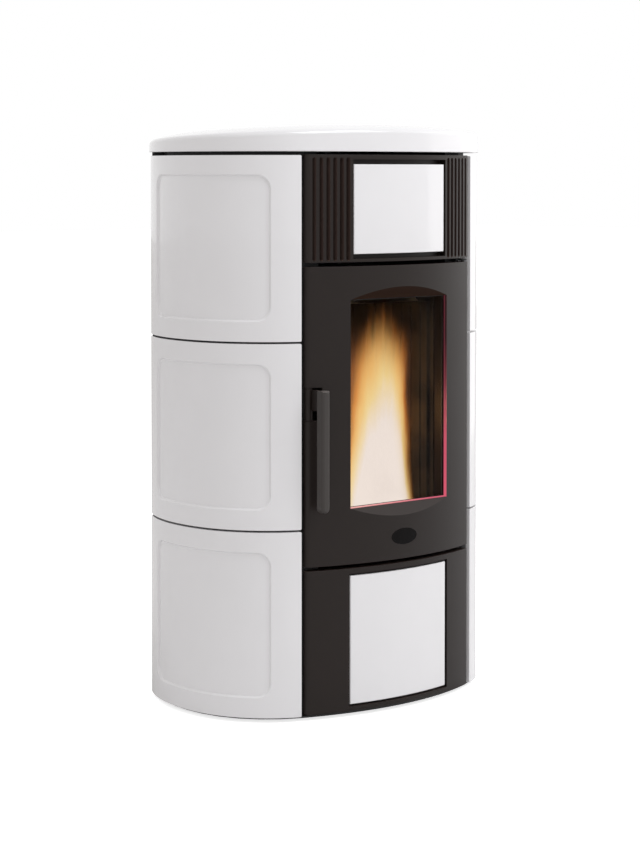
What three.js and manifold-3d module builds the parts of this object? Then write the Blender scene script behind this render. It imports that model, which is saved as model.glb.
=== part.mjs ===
// A pellet stove with a rounded plan, clad in glazed ceramic tiles round a dark metal front column.
// Millimetres. +Z is up, the front faces -Y, and z = 0 is the floor.
// Plan positions are measured from the middle of the front column's chord; the last lines centre them.
import * as THREE from 'three';
import { mergeVertices } from 'three/addons/utils/BufferGeometryUtils.js';
import Module from 'manifold-3d';

const wasm = await Module();
wasm.setup();

// ---- Driving dimensions -------------------------------------------------------------------------
// Heights
const footGap = 6;               // floor to the base plate
const baseThickness = 3.5;
const seat = 0.3;                // between a piece and what it rests on
const slip = 0.5;                // round a piece that slides into a hole
const claddingHeight = 1060;     // three courses of tiles
const tileCourses = 3;
const tileJoint = 3;
const lowerPanelHeight = 272;
const columnGap = 8;             // between the column's panels
const doorHeight = 566;
const slabGap = 10;              // tile tops to the top slab
const slabRise = 50.5;           // underside to the crown, at the front

// Plan
const columnHalf = 217;
const columnBulge = 41;
const tileGap = 6.5;
const shoulderRadius = 192;
const shoulderArc = 206;
const flankRadius = 320;
const flankArc = 227;
const rearSetback = 398;         // chord of the column to the outside of the rear panel

// Walls
const tileDepth = 26;
const tileWall = 12;
const linerWall = 2;
const sheet = 2;
const plate = 3;
const boxWall = 4;

// Column
const noseRadius = 10;
const panelWall = 6;
const windowHalf = 129;
const windowBottom = 398;
const windowTop = 795;
const windowSplay = 22;          // how far the sloped facets climb at the middle of the door
const glassThickness = 4;

// ---- Derived levels -----------------------------------------------------------------------------
const baseTop = footGap + baseThickness;
const standing = baseTop + seat;
const tileHeight = (claddingHeight - (tileCourses - 1) * tileJoint) / tileCourses;
const tileTop = standing + claddingHeight;
const slabUnder = tileTop + slabGap;
const frameTop = slabUnder - seat;
const frameUnder = frameTop - plate;
const carcassTop = frameUnder - seat;
const lowerPanelFoot = standing + 2.2;
const lowerPanelTop = lowerPanelFoot + lowerPanelHeight;
const doorFoot = lowerPanelTop + columnGap;
const doorTop = doorFoot + doorHeight;
const grilleFoot = doorTop + columnGap;
const grilleTop = frameUnder - 2.5;

// ---- Derived plan -------------------------------------------------------------------------------
const columnRadius = (columnHalf ** 2 + columnBulge ** 2) / (2 * columnBulge);
const columnCentreY = columnRadius - columnBulge;
const columnEnd = Math.asin(columnHalf / columnRadius);
const tileSpan = shoulderArc + flankArc;
const shoulderEnd = columnEnd + shoulderArc / shoulderRadius;
const rearInside = rearSetback - sheet;

// The nose: the half-round end of the column's panels. The door turns about its centre.
const noseX = columnHalf - noseRadius;
const noseY = columnCentreY - Math.sqrt((columnRadius - noseRadius) ** 2 - noseX ** 2);
const noseAngle = Math.asin(noseX / (columnRadius - noseRadius));
const panelRear = noseY + noseRadius;
const postFront = panelRear + 2.2;

const white = { color: 0xdedee2, roughness: 0.15, metalness: 0 };
const anthracite = { color: 0x3a3635, roughness: 0.55, metalness: 0.4 };
const blackSteel = { color: 0x262626, roughness: 0.6, metalness: 0.5 };
const zincSteel = { color: 0xa8abae, roughness: 0.4, metalness: 0.9 };
const castIron = { color: 0x2d2b2a, roughness: 0.8, metalness: 0.6 };
const stainless = { color: 0xb9b9b6, roughness: 0.35, metalness: 1 };
const blackPlastic = { color: 0x1b1b1c, roughness: 0.5, metalness: 0 };
const rope = { color: 0x4a4642, roughness: 0.95, metalness: 0 };
const clearGlass = { color: 0x5b4a40, roughness: 0.05, metalness: 0, transparent: true, opacity: 0.35 };
const vermiculite = { color: 0xb49a72, roughness: 0.95, metalness: 0 };

const stove = new THREE.Group();

function add(name, shape, finish) {
  const geometry = shape.isBufferGeometry ? shape : geometryOf(shape);
  geometry.computeVertexNormals();
  const mesh = new THREE.Mesh(geometry, new THREE.MeshStandardMaterial(finish));
  mesh.name = name;
  stove.add(mesh);
  return mesh;
}

// ---- Solids -------------------------------------------------------------------------------------
function solid(geometry) {
  const bare = geometry.clone();
  bare.deleteAttribute('normal');
  bare.deleteAttribute('uv');
  const merged = mergeVertices(bare, 1e-4);
  return new wasm.Manifold(new wasm.Mesh({
    numProp: 3,
    vertProperties: Float32Array.from(merged.attributes.position.array),
    triVerts: Uint32Array.from(merged.index.array),
  }));
}

function geometryOf(body) {
  const mesh = body.getMesh();
  const geometry = new THREE.BufferGeometry();
  geometry.setAttribute('position', new THREE.BufferAttribute(mesh.vertProperties, 3));
  geometry.setIndex(new THREE.BufferAttribute(mesh.triVerts, 1));
  return geometry;
}

function cut(body, ...tools) {
  return tools.reduce((left, tool) => left.subtract(tool), body);
}

function join(body, ...others) {
  return others.reduce((sum, other) => sum.add(other), body);
}

function box(x0, x1, y0, y1, z0, z1) {
  const geometry = new THREE.BoxGeometry(x1 - x0, y1 - y0, z1 - z0);
  return solid(geometry.translate((x0 + x1) / 2, (y0 + y1) / 2, (z0 + z1) / 2));
}

// A cylinder from one point to another.
function rod(radius, from, to, sides = 20) {
  const start = new THREE.Vector3(...from);
  const along = new THREE.Vector3(...to).sub(start);
  const geometry = new THREE.CylinderGeometry(radius, radius, along.length(), sides);
  geometry.translate(0, along.length() / 2, 0);
  const up = new THREE.Vector3(0, 1, 0);
  const turn = new THREE.Quaternion().setFromUnitVectors(up, along.clone().normalize());
  geometry.applyQuaternion(turn).translate(...from);
  return solid(geometry);
}

function prism(points, depth) {
  const shape = new THREE.Shape(points.map(([a, b]) => new THREE.Vector2(a, b)));
  return new THREE.ExtrudeGeometry(shape, { depth, bevelEnabled: false, curveSegments: 12 });
}

// An outline in x and y, raised from z0 to z1.
function prismZ(points, z0, z1) {
  return solid(prism(points, z1 - z0).translate(0, 0, z0));
}

// An outline in x and z, run from y0 to y1.
function prismY(points, y0, y1) {
  return solid(prism(points, y1 - y0).rotateX(Math.PI / 2).translate(0, y1, 0));
}

// An outline in y and z, run from x0 to x1.
function prismX(points, x0, x1) {
  const axes = new THREE.Matrix4().makeBasis(
    new THREE.Vector3(0, 1, 0), new THREE.Vector3(0, 0, 1), new THREE.Vector3(1, 0, 0));
  return solid(prism(points, x1 - x0).applyMatrix4(axes).translate(x0, 0, 0));
}

// A strip of even thickness along an open path, on the path's left hand.
function strip(path, thickness) {
  const inner = path.map((point, i) => {
    const before = path[Math.max(i - 1, 0)];
    const after = path[Math.min(i + 1, path.length - 1)];
    const into = unit(point[0] - before[0], point[1] - before[1]);
    const out = unit(after[0] - point[0], after[1] - point[1]);
    const a = i === 0 ? out : into;
    const b = i === path.length - 1 ? into : out;
    const normal = unit(-(a[1] + b[1]), a[0] + b[0]);
    const reach = thickness / (normal[0] * -a[1] + normal[1] * a[0]);
    return [point[0] + normal[0] * reach, point[1] + normal[1] * reach];
  });
  return [...path, ...inner.reverse()];
}

function unit(x, y) {
  const length = Math.hypot(x, y) || 1;
  return [x / length, y / length];
}

function mirrored(path) {
  return path.map(([x, y]) => [-x, y]).reverse();
}

function steps(count) {
  return Array.from({ length: count + 1 }, (_, i) => i / count);
}

// A closed skin over rings of equal point counts. Each cap is a ladder between a ring's two halves.
function loft(rings) {
  const count = rings[0].length;
  const index = skinBetween(rings.length, count);
  const last = (rings.length - 1) * count;
  for (let i = 0; i + 1 < count / 2; i++) {
    const [a, b, c, d] = [i, i + 1, count - 2 - i, count - 1 - i];
    index.push(a, c, b, last + a, last + b, last + c);
    if (c !== d) index.push(a, d, c, last + a, last + c, last + d);
  }
  return indexed(rings.flat(2), index);
}

// The triangles between neighbouring rings of a skin.
function skinBetween(rings, count) {
  const index = [];
  for (let k = 0; k + 1 < rings; k++) {
    for (let i = 0; i < count; i++) {
      const j = (i + 1) % count;
      const [a, b, c, d] = [k * count + i, k * count + j, (k + 1) * count + j, (k + 1) * count + i];
      index.push(a, b, c, a, c, d);
    }
  }
  return index;
}

function indexed(position, index) {
  const geometry = new THREE.BufferGeometry();
  geometry.setAttribute('position', new THREE.Float32BufferAttribute(position, 3));
  geometry.setIndex(index);
  return geometry;
}

function turnedInsideOut(geometry) {
  const index = geometry.index.array;
  for (let i = 0; i < index.length; i += 3) [index[i + 1], index[i + 2]] = [index[i + 2], index[i + 1]];
  return geometry;
}

// ---- The plan's curves --------------------------------------------------------------------------
const sideStart = [
  columnHalf + tileGap * Math.cos(columnEnd),
  tileGap * Math.sin(columnEnd),
];
const shoulderCentre = arcCentre(sideStart, columnEnd, shoulderRadius);
const flankStart = onArc(shoulderCentre, shoulderRadius, shoulderEnd);
const flankCentre = arcCentre(flankStart, shoulderEnd, flankRadius);

function arcCentre([x, y], heading, radius) {
  return [x - radius * Math.sin(heading), y + radius * Math.cos(heading)];
}

function onArc([x, y], radius, heading) {
  return [x + radius * Math.sin(heading), y - radius * Math.cos(heading)];
}

// A point on the right side of the cladding, by arc length from the tile's front edge and by depth.
function sidePoint(arc, depth = 0) {
  return arc <= shoulderArc
    ? onArc(shoulderCentre, shoulderRadius - depth, columnEnd + arc / shoulderRadius)
    : onArc(flankCentre, flankRadius - depth, shoulderEnd + (arc - shoulderArc) / flankRadius);
}

// The arc length at which the flank, at a depth, comes back to a given y.
function sideArcAt(y, depth) {
  const heading = Math.acos((flankCentre[1] - y) / (flankRadius - depth));
  return shoulderArc + (heading - shoulderEnd) * flankRadius;
}

function sidePath(from, to, depth, count) {
  return steps(count).map((t) => sidePoint(from + (to - from) * t, depth));
}

// A point on the column's face, by arc length from its middle and by depth.
function columnPoint(arc, depth = 0) {
  return onArc([0, columnCentreY], columnRadius - depth, arc / columnRadius);
}

// The column's arc between two x positions, at a depth.
function columnPath(x0, x1, depth, count) {
  const radius = columnRadius - depth;
  const [from, to] = [Math.asin(x0 / radius), Math.asin(x1 / radius)];
  return steps(count).map((t) => onArc([0, columnCentreY], radius, from + (to - from) * t));
}

// The body's whole outline, inset from the cladding's face.
function bodyOutline(inset, rear) {
  const half = [
    ...columnPath(0, columnHalf - inset * Math.sin(columnEnd), inset, 7).slice(1),
    ...sidePath(2, sideArcAt(rear, inset), inset, 11),
  ];
  return [columnPoint(0, inset), ...half, ...mirrored(half)];
}

// A front column panel: the arc, the two noses and a flat rear.
function columnPlan() {
  const nose = steps(6).map((t) => {
    const angle = noseAngle - Math.PI / 2 + t * (Math.PI - noseAngle);
    return [noseX + noseRadius * Math.cos(angle), noseY + noseRadius * Math.sin(angle)];
  });
  const arc = steps(16).map((t) => onArc([0, columnCentreY], columnRadius, noseAngle * (2 * t - 1)));
  return [...arc.slice(1, -1), ...nose, ...mirrored(nose)];
}

// What lies behind the column's face at a depth, between two x positions, back to a y.
function behindFace(x0, x1, depth, rear) {
  const count = Math.max(2, Math.ceil((x1 - x0) / 27));
  return [...columnPath(x0, x1, depth, count), [x1, rear], [x0, rear]];
}

// ---- Tiles --------------------------------------------------------------------------------------
// A rounded rectangle in arc length and height: its lower half from left to right, then its upper.
function fieldRing(width, height, insetU, insetV, radius, out, place, along = 10) {
  const [u0, u1, v0] = [insetU, width - insetU, insetV];
  const corner = steps(3).map((t) => {
    const angle = (t * Math.PI) / 2;
    return [radius * (1 - Math.cos(angle)), radius * (1 - Math.sin(angle))];
  });
  const lower = [
    ...corner.map(([du, dv]) => [u0 + du, v0 + dv]),
    ...steps(along).slice(1, -1).map((t) => [u0 + radius + (u1 - u0 - 2 * radius) * t, v0]),
    ...corner.map(([du, dv]) => [u1 - du, v0 + dv]).reverse(),
  ];
  const upper = lower.map(([u, v]) => [u, height - v]).reverse();
  return [...lower, ...upper].map(([u, v]) => place(u, v, out));
}

// One cladding tile: hollow behind, its edges rounded, with a soft-edged sunk field.
const fieldMarginU = 60;
const fieldMarginV = 38;
const fieldRadius = 28;
const fieldSink = 3.5;
const tileEdge = 3;

function tileGeometry(place) {
  const rings = [
    [tileWall, tileWall, 6, -tileWall],
    [tileWall, tileWall, 6, -tileDepth],
    [0, 0, tileEdge, -tileDepth],
    [0, 0, tileEdge, -tileEdge * 0.7],
    [tileEdge * 0.7, tileEdge * 0.7, tileEdge, 0],
    [fieldMarginU / 2, fieldMarginV / 2, fieldRadius / 2, 0],
    [fieldMarginU, fieldMarginV, fieldRadius, 0],
    [fieldMarginU + 2 * fieldSink, fieldMarginV + 2 * fieldSink, fieldRadius - fieldSink, -fieldSink],
  ];
  return loft(rings.map(([insetU, insetV, radius, out]) =>
    fieldRing(tileSpan, tileHeight, insetU, insetV, radius, out, place)));
}

function sideTiles() {
  const courses = ['bottom', 'middle', 'top'];
  courses.forEach((course, i) => {
    const foot = standing + i * (tileHeight + tileJoint);
    const right = (u, v, w) => [...sidePoint(u, -w), foot + v];
    const left = (u, v, w) => {
      const [x, y, z] = right(u, v, w);
      return [-x, y, z];
    };
    add('tile_right_' + course, tileGeometry(right), white);
    add('tile_left_' + course, turnedInsideOut(tileGeometry(left)), white);
  });
}

// A small white tile set in a panel of the column.
function columnTile(halfWidth, foot, height, proud, thickness) {
  const edge = 1.5;
  const place = (u, v, w) => [...columnPoint(u - halfWidth, proud - w), foot + v];
  const rings = [
    [0, 0, edge, -thickness],
    [0, 0, edge, -edge],
    [edge, edge, edge, 0],
  ];
  return loft(rings.map(([insetU, insetV, radius, out]) =>
    fieldRing(2 * halfWidth, height, insetU, insetV, radius, out, place)));
}

// ---- Carcass ------------------------------------------------------------------------------------
const footHalf = 200;            // feet to either side of the middle
const footPlaces = {
  front_left: [-footHalf, 62], front_right: [footHalf, 62],
  rear_left: [-footHalf, rearSetback - 63], rear_right: [footHalf, rearSetback - 63],
};
const footRadius = 19;
const stemRadius = 5;
const stemTop = 31;
const cableHole = { half: 60, front: rearSetback - 108, rear: rearSetback - 48 };

function basePlate() {
  let body = prismZ(bodyOutline(8, rearInside), footGap, baseTop);
  for (const [x, y] of Object.values(footPlaces)) {
    body = body.subtract(rod(stemRadius + slip, [x, y, 0], [x, y, baseTop + 1], 12));
  }
  const { half, front, rear } = cableHole;
  return body.subtract(box(-half, half, front, rear, 0, baseTop + 1));
}

function levellingFoot([x, y]) {
  const top = footGap - seat;
  const profile = [
    [0, 0], [footRadius, 0], [footRadius, top - 2], [stemRadius + 4, top],
    [stemRadius, top], [stemRadius, stemTop], [0, stemTop],
  ];
  const geometry = new THREE.LatheGeometry(profile.map(([r, z]) => new THREE.Vector2(r, z)), 12);
  return solid(geometry.rotateX(Math.PI / 2).translate(x, y, 0));
}

const lap = 0.6;                 // between curved sheets, whose flats dip a little
const linerDepth = tileDepth + 1.8;
const flangeDepth = linerDepth + linerWall + lap;

function sideLiner() {
  return strip(sidePath(6, tileSpan - 3, linerDepth, 21), linerWall);
}

// A front post: a folded channel behind the column's edge, its side flange against the liner.
const postInner = columnHalf - 47;
const postWall = 2.5;

function frontPost() {
  const path = [[postInner, postFront], [noseX - 1, postFront], ...sidePath(4, 32, flangeDepth, 3)];
  return strip(path, postWall);
}

// The latch keeper stands behind the left post's slot; the lever's tail passes through both.
const latchMiddle = 600;
const latchSlot = { x0: 5 - noseX, x1: 29 - noseX, z0: latchMiddle - 17, z1: latchMiddle + 17 };

function latchOpening() {
  const { x0, x1, z0, z1 } = latchSlot;
  return box(x0, x1, postFront - 5, postFront + 15, z0, z1);
}

function latchKeeper() {
  const front = postFront + postWall + seat;
  const outer = noseX - 1 - postWall;
  const body = box(-outer, -postInner - 2, front, front + 3.2, latchMiddle - 30, latchMiddle + 30);
  return body.subtract(latchOpening());
}

// The rear panel: a folded tray whose flanges lap the side liners.
const flue = { x: -65, z: 225, radius: 40, wall: 3, reach: rearSetback + 50 };
const airPipe = { z: 373, radius: 20, wall: 1.5, reach: rearSetback + 34 };
const rearCorner = sidePoint(sideArcAt(rearSetback, 4), 4);
const rearHalf = Math.round(rearCorner[0]);
const powerModule = { x: rearHalf - 85, z: 92, halfWidth: 15, halfHeight: 30 };
const keypad = { x: rearHalf - 90, z: 985, halfWidth: 42, halfHeight: 26 };

const louvreHalf = 45;
const louvreHeight = 7;

function rearPanel() {
  const half = [
    sidePoint(tileSpan - 18, flangeDepth), sidePoint(tileSpan + 3, flangeDepth),
    sidePoint(tileSpan + 3, 4), rearCorner,
  ];
  let body = prismZ(strip([...half, ...mirrored(half)], sheet), standing, carcassTop);
  const [front, back] = [rearSetback - 10, rearSetback + 10];
  body = cut(body,
    rod(flue.radius + 2 * slip, [flue.x, front, flue.z], [flue.x, back, flue.z], 24),
    rod(airPipe.radius + slip, [0, front, airPipe.z], [0, back, airPipe.z], 20),
    window(powerModule, slip, front, back));
  return body.subtract(louvres(front, back));
}

// A block through a wall, as wide and high as a module and its clearance.
function window({ x, z, halfWidth, halfHeight }, clearance, y0, y1) {
  const [w, h] = [halfWidth + clearance, halfHeight + clearance];
  return box(x - w, x + w, y0, y1, z - h, z + h);
}

// Two banks of air slots: foot, spread, rows and the middles of their columns.
function louvres(front, back) {
  const banks = [[30, 62, 3, [80 - rearHalf, 60]], [700, 150, 4, [-150, 150]]];
  const slots = banks.flatMap(([foot, spread, rows, middles]) => middles.flatMap((middle) =>
    Array.from({ length: rows }, (_, i) => {
      const z = foot + (i * spread) / rows;
      return box(middle - louvreHalf, middle + louvreHalf, front, back, z, z + louvreHeight);
    })));
  return join(...slots);
}

// The top frame: a plate with the fuel mouth, and flanges that drop inside the liners.
const mouth = { half: 200, front: 266, rear: 368 };

function topFrame() {
  const top = prismZ(bodyOutline(8, rearInside), frameUnder, frameTop);
  const flange = strip(sidePath(40, tileSpan - 24, flangeDepth, 12), sheet);
  const drop = frameUnder - 30;
  const railHalf = sidePoint(sideArcAt(rearInside, 8), 8)[0] - 11;
  const rail = box(-railHalf, railHalf, rearInside - seat - sheet, rearInside - seat, drop, frameUnder + 1);
  const opening = box(-mouth.half, mouth.half, mouth.front, mouth.rear, frameUnder - 1, frameTop + 1);
  return join(top, prismZ(flange, drop, frameUnder + 1), prismZ(mirrored(flange), drop, frameUnder + 1), rail)
    .subtract(opening);
}

// ---- Top slab and fuel lid ----------------------------------------------------------------------
const crownFall = 19.5;          // fall of the slab's top over crownReach, a very flat dome
const crownReach = 441;
const slabOverhang = 2;
const slabRound = 9;
const lid = {
  half: mouth.half + 11, front: mouth.front - 8, pivotY: mouth.rear + 12,
  tail: 9, under: 15.5, drop: 26.3, gap: 1,
};
const lidPinRadius = 3;
const pinPlay = 0.4;             // round a pin or shaft that turns in its bore

function crownZ(x, y) {
  return slabUnder + slabRise - (crownFall * (x * x + (y + columnBulge) ** 2)) / crownReach ** 2;
}

function crownSolid() {
  const rear = rearSetback + slabOverhang;
  const outer = (inset) => bodyOutline(inset - slabOverhang, rear - inset);
  const rounding = [[0, slabRound], [0.13, 0.5], [0.5, 0.13], [1, 0]];
  const middle = [0, (rear - columnBulge) / 2];
  const shrink = (ring, share) => ring.map(([x, y]) => [x * share, middle[1] + (y - middle[1]) * share]);
  const rings = [
    outer(1.5).map(([x, y]) => [x, y, slabUnder]),
    outer(0).map(([x, y]) => [x, y, slabUnder + 2]),
    ...rounding.map(([inset, drop], i) => outer(inset * slabRound).map(([x, y]) =>
      [x, y, crownZ(x, y) - (i === 0 ? slabRound : drop * slabRound)])),
    ...[0.66, 0.3].map((share) =>
      shrink(outer(slabRound), share).map(([x, y]) => [x, y, crownZ(x, y)])),
  ];
  const count = rings[0].length;
  const position = [...rings.flat(2), ...middle, slabUnder, ...middle, crownZ(...middle)];
  const index = skinBetween(rings.length, count);
  const under = rings.length * count;
  const last = under - count;
  for (let i = 0; i < count; i++) {
    const j = (i + 1) % count;
    index.push(under, j, i, under + 1, last + i, last + j);
  }
  return solid(indexed(position, index));
}

const lidPivotZ = slabUnder + slabRise - lid.drop;
const lidUnder = slabUnder + lid.under;

function lidPin(radius, half) {
  return rod(radius, [-half, lid.pivotY, lidPivotZ], [half, lid.pivotY, lidPivotZ], 16);
}

function topSlab(crown) {
  const high = slabUnder + slabRise + 1;
  const well = box(-lid.half - lid.gap, lid.half + lid.gap, lid.front - lid.gap,
    lid.pivotY + lid.tail + lid.gap, lidUnder - slip, high);
  const opening = box(-mouth.half, mouth.half, mouth.front, mouth.rear, slabUnder - 1, high);
  const hollow = prismZ(bodyOutline(22, 236), slabUnder - 1, slabUnder + 13);
  const scoop = rod(15, [0, lid.front - 2, slabUnder + 32], [0, lid.front - 2, high], 16);
  return cut(crown, well, opening, hollow, scoop, lidPin(lidPinRadius + pinPlay, lid.half + 13));
}

function hopperLid(crown) {
  const high = slabUnder + slabRise + 1;
  const body = box(-lid.half, lid.half, lid.front, lid.pivotY, lidUnder, high);
  const tail = rod(lid.tail, [-lid.half, lid.pivotY, lidPivotZ], [lid.half, lid.pivotY, lidPivotZ], 28);
  const [half, front, rear] = [mouth.half - 12, mouth.front + 14, mouth.rear - 12];
  const pocket = box(-half, half, front, rear, lidUnder - 1, lidUnder + 7);
  return cut(crown.intersect(body.add(tail)), pocket, lidPin(lidPinRadius + pinPlay, lid.half + 1));
}

// ---- Front column -------------------------------------------------------------------------------
// Pads on a panel's rear, at its foot and head, that stand against the posts.
function rearPads(foot, top, height) {
  const [inner, outer] = [noseX - 29, noseX - 5];
  const pads = [[-outer, -inner], [inner, outer]].flatMap(([x0, x1]) => [foot, top - height].map((z) =>
    box(x0, x1, panelRear - 1, postFront - seat, z, z + height)));
  return join(...pads);
}

const tileProud = 2;             // how far the white tiles lie behind the column's face
const columnTileThickness = 7;
const upperTile = { half: 122, margin: 3, foot: 15, top: 18, recess: 9 };
const slot = { width: 10.2, pitch: 13.7, first: 134, count: 6, margin: 5 };
const slotDepth = 13;            // from the face to the hollow behind the slots

function slotOutline(x, foot, top) {
  const radius = slot.width / 2;
  const end = (z, from) => steps(3).map((t) => {
    const angle = from + t * Math.PI;
    return [x + radius * Math.cos(angle), z + radius * Math.sin(angle)];
  });
  return [...end(top - radius, 0), ...end(foot + radius, Math.PI)];
}

function grillePanel() {
  const back = panelRear + 1;
  const [foot, top] = [grilleFoot + slot.margin, grilleTop - slot.margin];
  const tileFoot = grilleFoot + upperTile.foot - upperTile.recess;
  const tileHead = grilleTop - upperTile.top + upperTile.recess;
  const inner = slot.first - slot.width / 2;
  const outer = noseX - 1;
  const block = join(prismZ(columnPlan(), grilleFoot, grilleTop),
    rearPads(grilleFoot, grilleTop, slot.margin));
  const slots = [-1, 1].flatMap((side) => Array.from({ length: slot.count }, (_, i) =>
    prismY(slotOutline(side * (slot.first + i * slot.pitch), foot, top), -columnBulge - 1, panelRear - 3)));
  return cut(block,
    prismZ(tileRecess(upperTile), tileFoot, tileHead),
    prismZ(behindFace(inner, outer, slotDepth, back), foot, top),
    prismZ(behindFace(-outer, -inner, slotDepth, back), foot, top),
    prismZ(behindFace(4 - upperTile.half, upperTile.half - 4, 20, back), grilleFoot + 20, grilleTop - 20),
    ...slots);
}

// The recess for a white tile: what lies before the column's face at the tile's back.
function tileRecess({ half, margin }) {
  const reach = half + margin;
  const front = -columnBulge - 5;
  return [
    ...columnPath(-reach, reach, tileProud + columnTileThickness + slip, 10),
    [reach, front], [-reach, front],
  ];
}

const lowerTile = { half: 129.5, margin: 4, foot: 12, top: 14 };
const lowerPanelWall = 17;

function lowerPanel() {
  const reach = noseX - 15;
  const foot = lowerPanelFoot + lowerTile.foot - lowerTile.margin;
  const top = lowerPanelTop - lowerTile.top + lowerTile.margin;
  const block = join(prismZ(columnPlan(), lowerPanelFoot, lowerPanelTop),
    rearPads(lowerPanelFoot, lowerPanelTop, 24));
  const hollow = behindFace(-reach, reach, lowerPanelWall, panelRear + 1);
  return cut(block, prismZ(tileRecess(lowerTile), foot, top),
    prismZ(hollow, lowerPanelFoot + 40, lowerPanelTop - 40));
}

// ---- Door ---------------------------------------------------------------------------------------
const glassFront = -22;
const rebate = 10;               // how far the glass reaches behind the frame
const glassHalf = windowHalf + rebate - 1;
const glassFoot = windowBottom - rebate;
const glassHead = windowTop + rebate;
const pinRadius = 3.5;
const pinReach = 14;
const notch = { x0: -columnHalf - 1, x1: 20 - noseX, z0: 568, z1: 631 };
const trunnionReach = 8;

function doorFrame() {
  const [front, back] = [-columnBulge - 1, panelRear + 1];
  const slope = windowSplay / (columnBulge + glassFront - 5);
  const mouthY = glassFront - 5;
  const splay = (front - mouthY) * -slope;
  const opening = box(-windowHalf, windowHalf, front, back, windowBottom, windowTop);
  const facets = prismX([
    [mouthY, windowBottom], [mouthY, windowTop], [front, windowTop + splay], [front, windowBottom - splay],
  ].reverse(), -windowHalf, windowHalf);
  const seatCut = box(-windowHalf - rebate, windowHalf + rebate, glassFront, back,
    windowBottom - rebate - 1, windowTop + rebate + 1);
  const pocket = (x0, x1, z0, z1) => prismZ(behindFace(x0, x1, panelWall, back), z0, z1);
  const bore = (x, z0, z1, radius) => rod(radius, [x, noseY, z0], [x, noseY, z1], 12);
  return cut(prismZ(columnPlan(), doorFoot, doorTop),
    opening, facets, seatCut,
    pocket(noseX - 51, noseX - 15, doorFoot + 10, doorTop - 10),
    pocket(15 - noseX, 51 - noseX, doorFoot + 10, doorTop - 10),
    pocket(-glassHalf, glassHalf, doorFoot + 18, windowBottom - rebate - 26),
    box(notch.x0, notch.x1, front, back, notch.z0, notch.z1),
    box(notch.x1 - 1, 42 - noseX, -2, back, latchMiddle - 20, latchMiddle + 20),
    bore(noseX, doorFoot - 1, doorFoot + pinReach, pinRadius + pinPlay),
    bore(noseX, doorTop - pinReach, doorTop + 1, pinRadius + pinPlay),
    bore(-noseX, notch.z0 - trunnionReach - 1, notch.z1 + trunnionReach + 1, pinRadius));
}

function frameRing(outerX, z0, z1, width, y0, y1) {
  return box(-outerX, outerX, y0, y1, z0, z1)
    .subtract(box(-outerX + width, outerX - width, y0 - 1, y1 + 1, z0 + width, z1 - width));
}

function doorGlass() {
  const front = glassFront + seat;
  return box(-glassHalf, glassHalf, front, front + glassThickness, glassFoot, glassHead);
}

const retainerThickness = 3;

function glassRetainer() {
  const y = glassFront + 2 * seat + glassThickness;
  return frameRing(glassHalf, glassFoot, glassHead, 12, y, y + retainerThickness);
}

const flangeFront = panelRear + 4.2;
const gasket = { half: windowHalf + 23.5, foot: doorFoot + 4, head: doorTop - 9, width: 9 };

function doorGasket() {
  const { half, foot, head, width } = gasket;
  return frameRing(half, foot, head, width, panelRear + seat, flangeFront - seat);
}

// A hinge bracket: a plate on the right post with the pin that carries the door.
function hingeBracket(bottom) {
  const z = bottom ? doorFoot - 6 : doorTop + 2;
  const pin = bottom ? [z, doorFoot + pinReach - 2] : [doorTop - pinReach + 2, z + 4];
  const arm = prismZ([[noseX - 18, noseY], [noseX + 7, noseY], [noseX - 1, postFront - seat],
    [noseX - 18, postFront - seat]], z, z + 4);
  const boss = rod(9, [noseX, noseY, z], [noseX, noseY, z + 4], 16);
  return join(arm, boss, rod(pinRadius, [noseX, noseY, pin[0]], [noseX, noseY, pin[1]], 12));
}

const grip = { x: 7 - noseX, rear: -24.5, width: 20, depth: 17, cheek: 5, foot: 397, top: 627 };
const leverArm = { x0: 1 - noseX, x1: 8 - noseX, foot: 588, top: 627, chamfer: 5 };
const tail = { x0: 9.5 - noseX, x1: 15.5 - noseX, halfHeight: 12, end: 31, hook: 26.3 };

// The lever: a hub on trunnions in the door's notch, an arm to the grip and a hooked tail.
function handleLever() {
  const [z0, z1] = [notch.z0 + 0.6, notch.z1 - 0.6];
  const upright = (radius, foot, head) => rod(radius, [-noseX, noseY, foot], [-noseX, noseY, head], 16);
  const trunnion = upright(pinRadius - pinPlay, z0 - trunnionReach, z1 + trunnionReach);
  const { foot, top, chamfer } = leverArm;
  const front = grip.rear + seat;
  const arm = prismX([
    [noseY, foot], [noseY, top], [front + 1.6 * chamfer, top], [front, top - chamfer],
    [front, foot + chamfer], [front + 1.6 * chamfer, foot],
  ].reverse(), leverArm.x0, leverArm.x1);
  const [low, high] = [latchMiddle - tail.halfHeight, latchMiddle + tail.halfHeight];
  const web = box(-noseX, tail.x1, 2, 10, low, high);
  const blade = box(tail.x0, tail.x1, 3, tail.end, low, high);
  const hook = box(tail.x0 - 3.5, tail.x1 - 0.5, tail.hook, tail.end, low, high);
  return join(upright(8.5, z0, z1), trunnion, arm, web, blade, hook);
}

// The grip: a bar with a domed face and a rounded foot.
function handleGrip() {
  const half = grip.width / 2;
  const back = grip.rear - grip.cheek;
  const dome = steps(8).map((t) => {
    const angle = Math.PI * (1 + t);
    return [grip.x + half * Math.cos(angle), back + (grip.depth - grip.cheek) * Math.sin(angle)];
  });
  const section = [...dome, [grip.x + half, grip.rear], [grip.x - half, grip.rear]];
  const bend = grip.foot + half;
  const [front, rear] = [grip.rear - grip.depth - 1, grip.rear + 1];
  const keep = join(rod(half, [grip.x, front, bend], [grip.x, rear, bend], 24),
    box(grip.x - half - 1, grip.x + half + 1, front, rear, bend, grip.top + 1));
  return prismZ(section, grip.foot, grip.top).intersect(keep);
}

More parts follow.
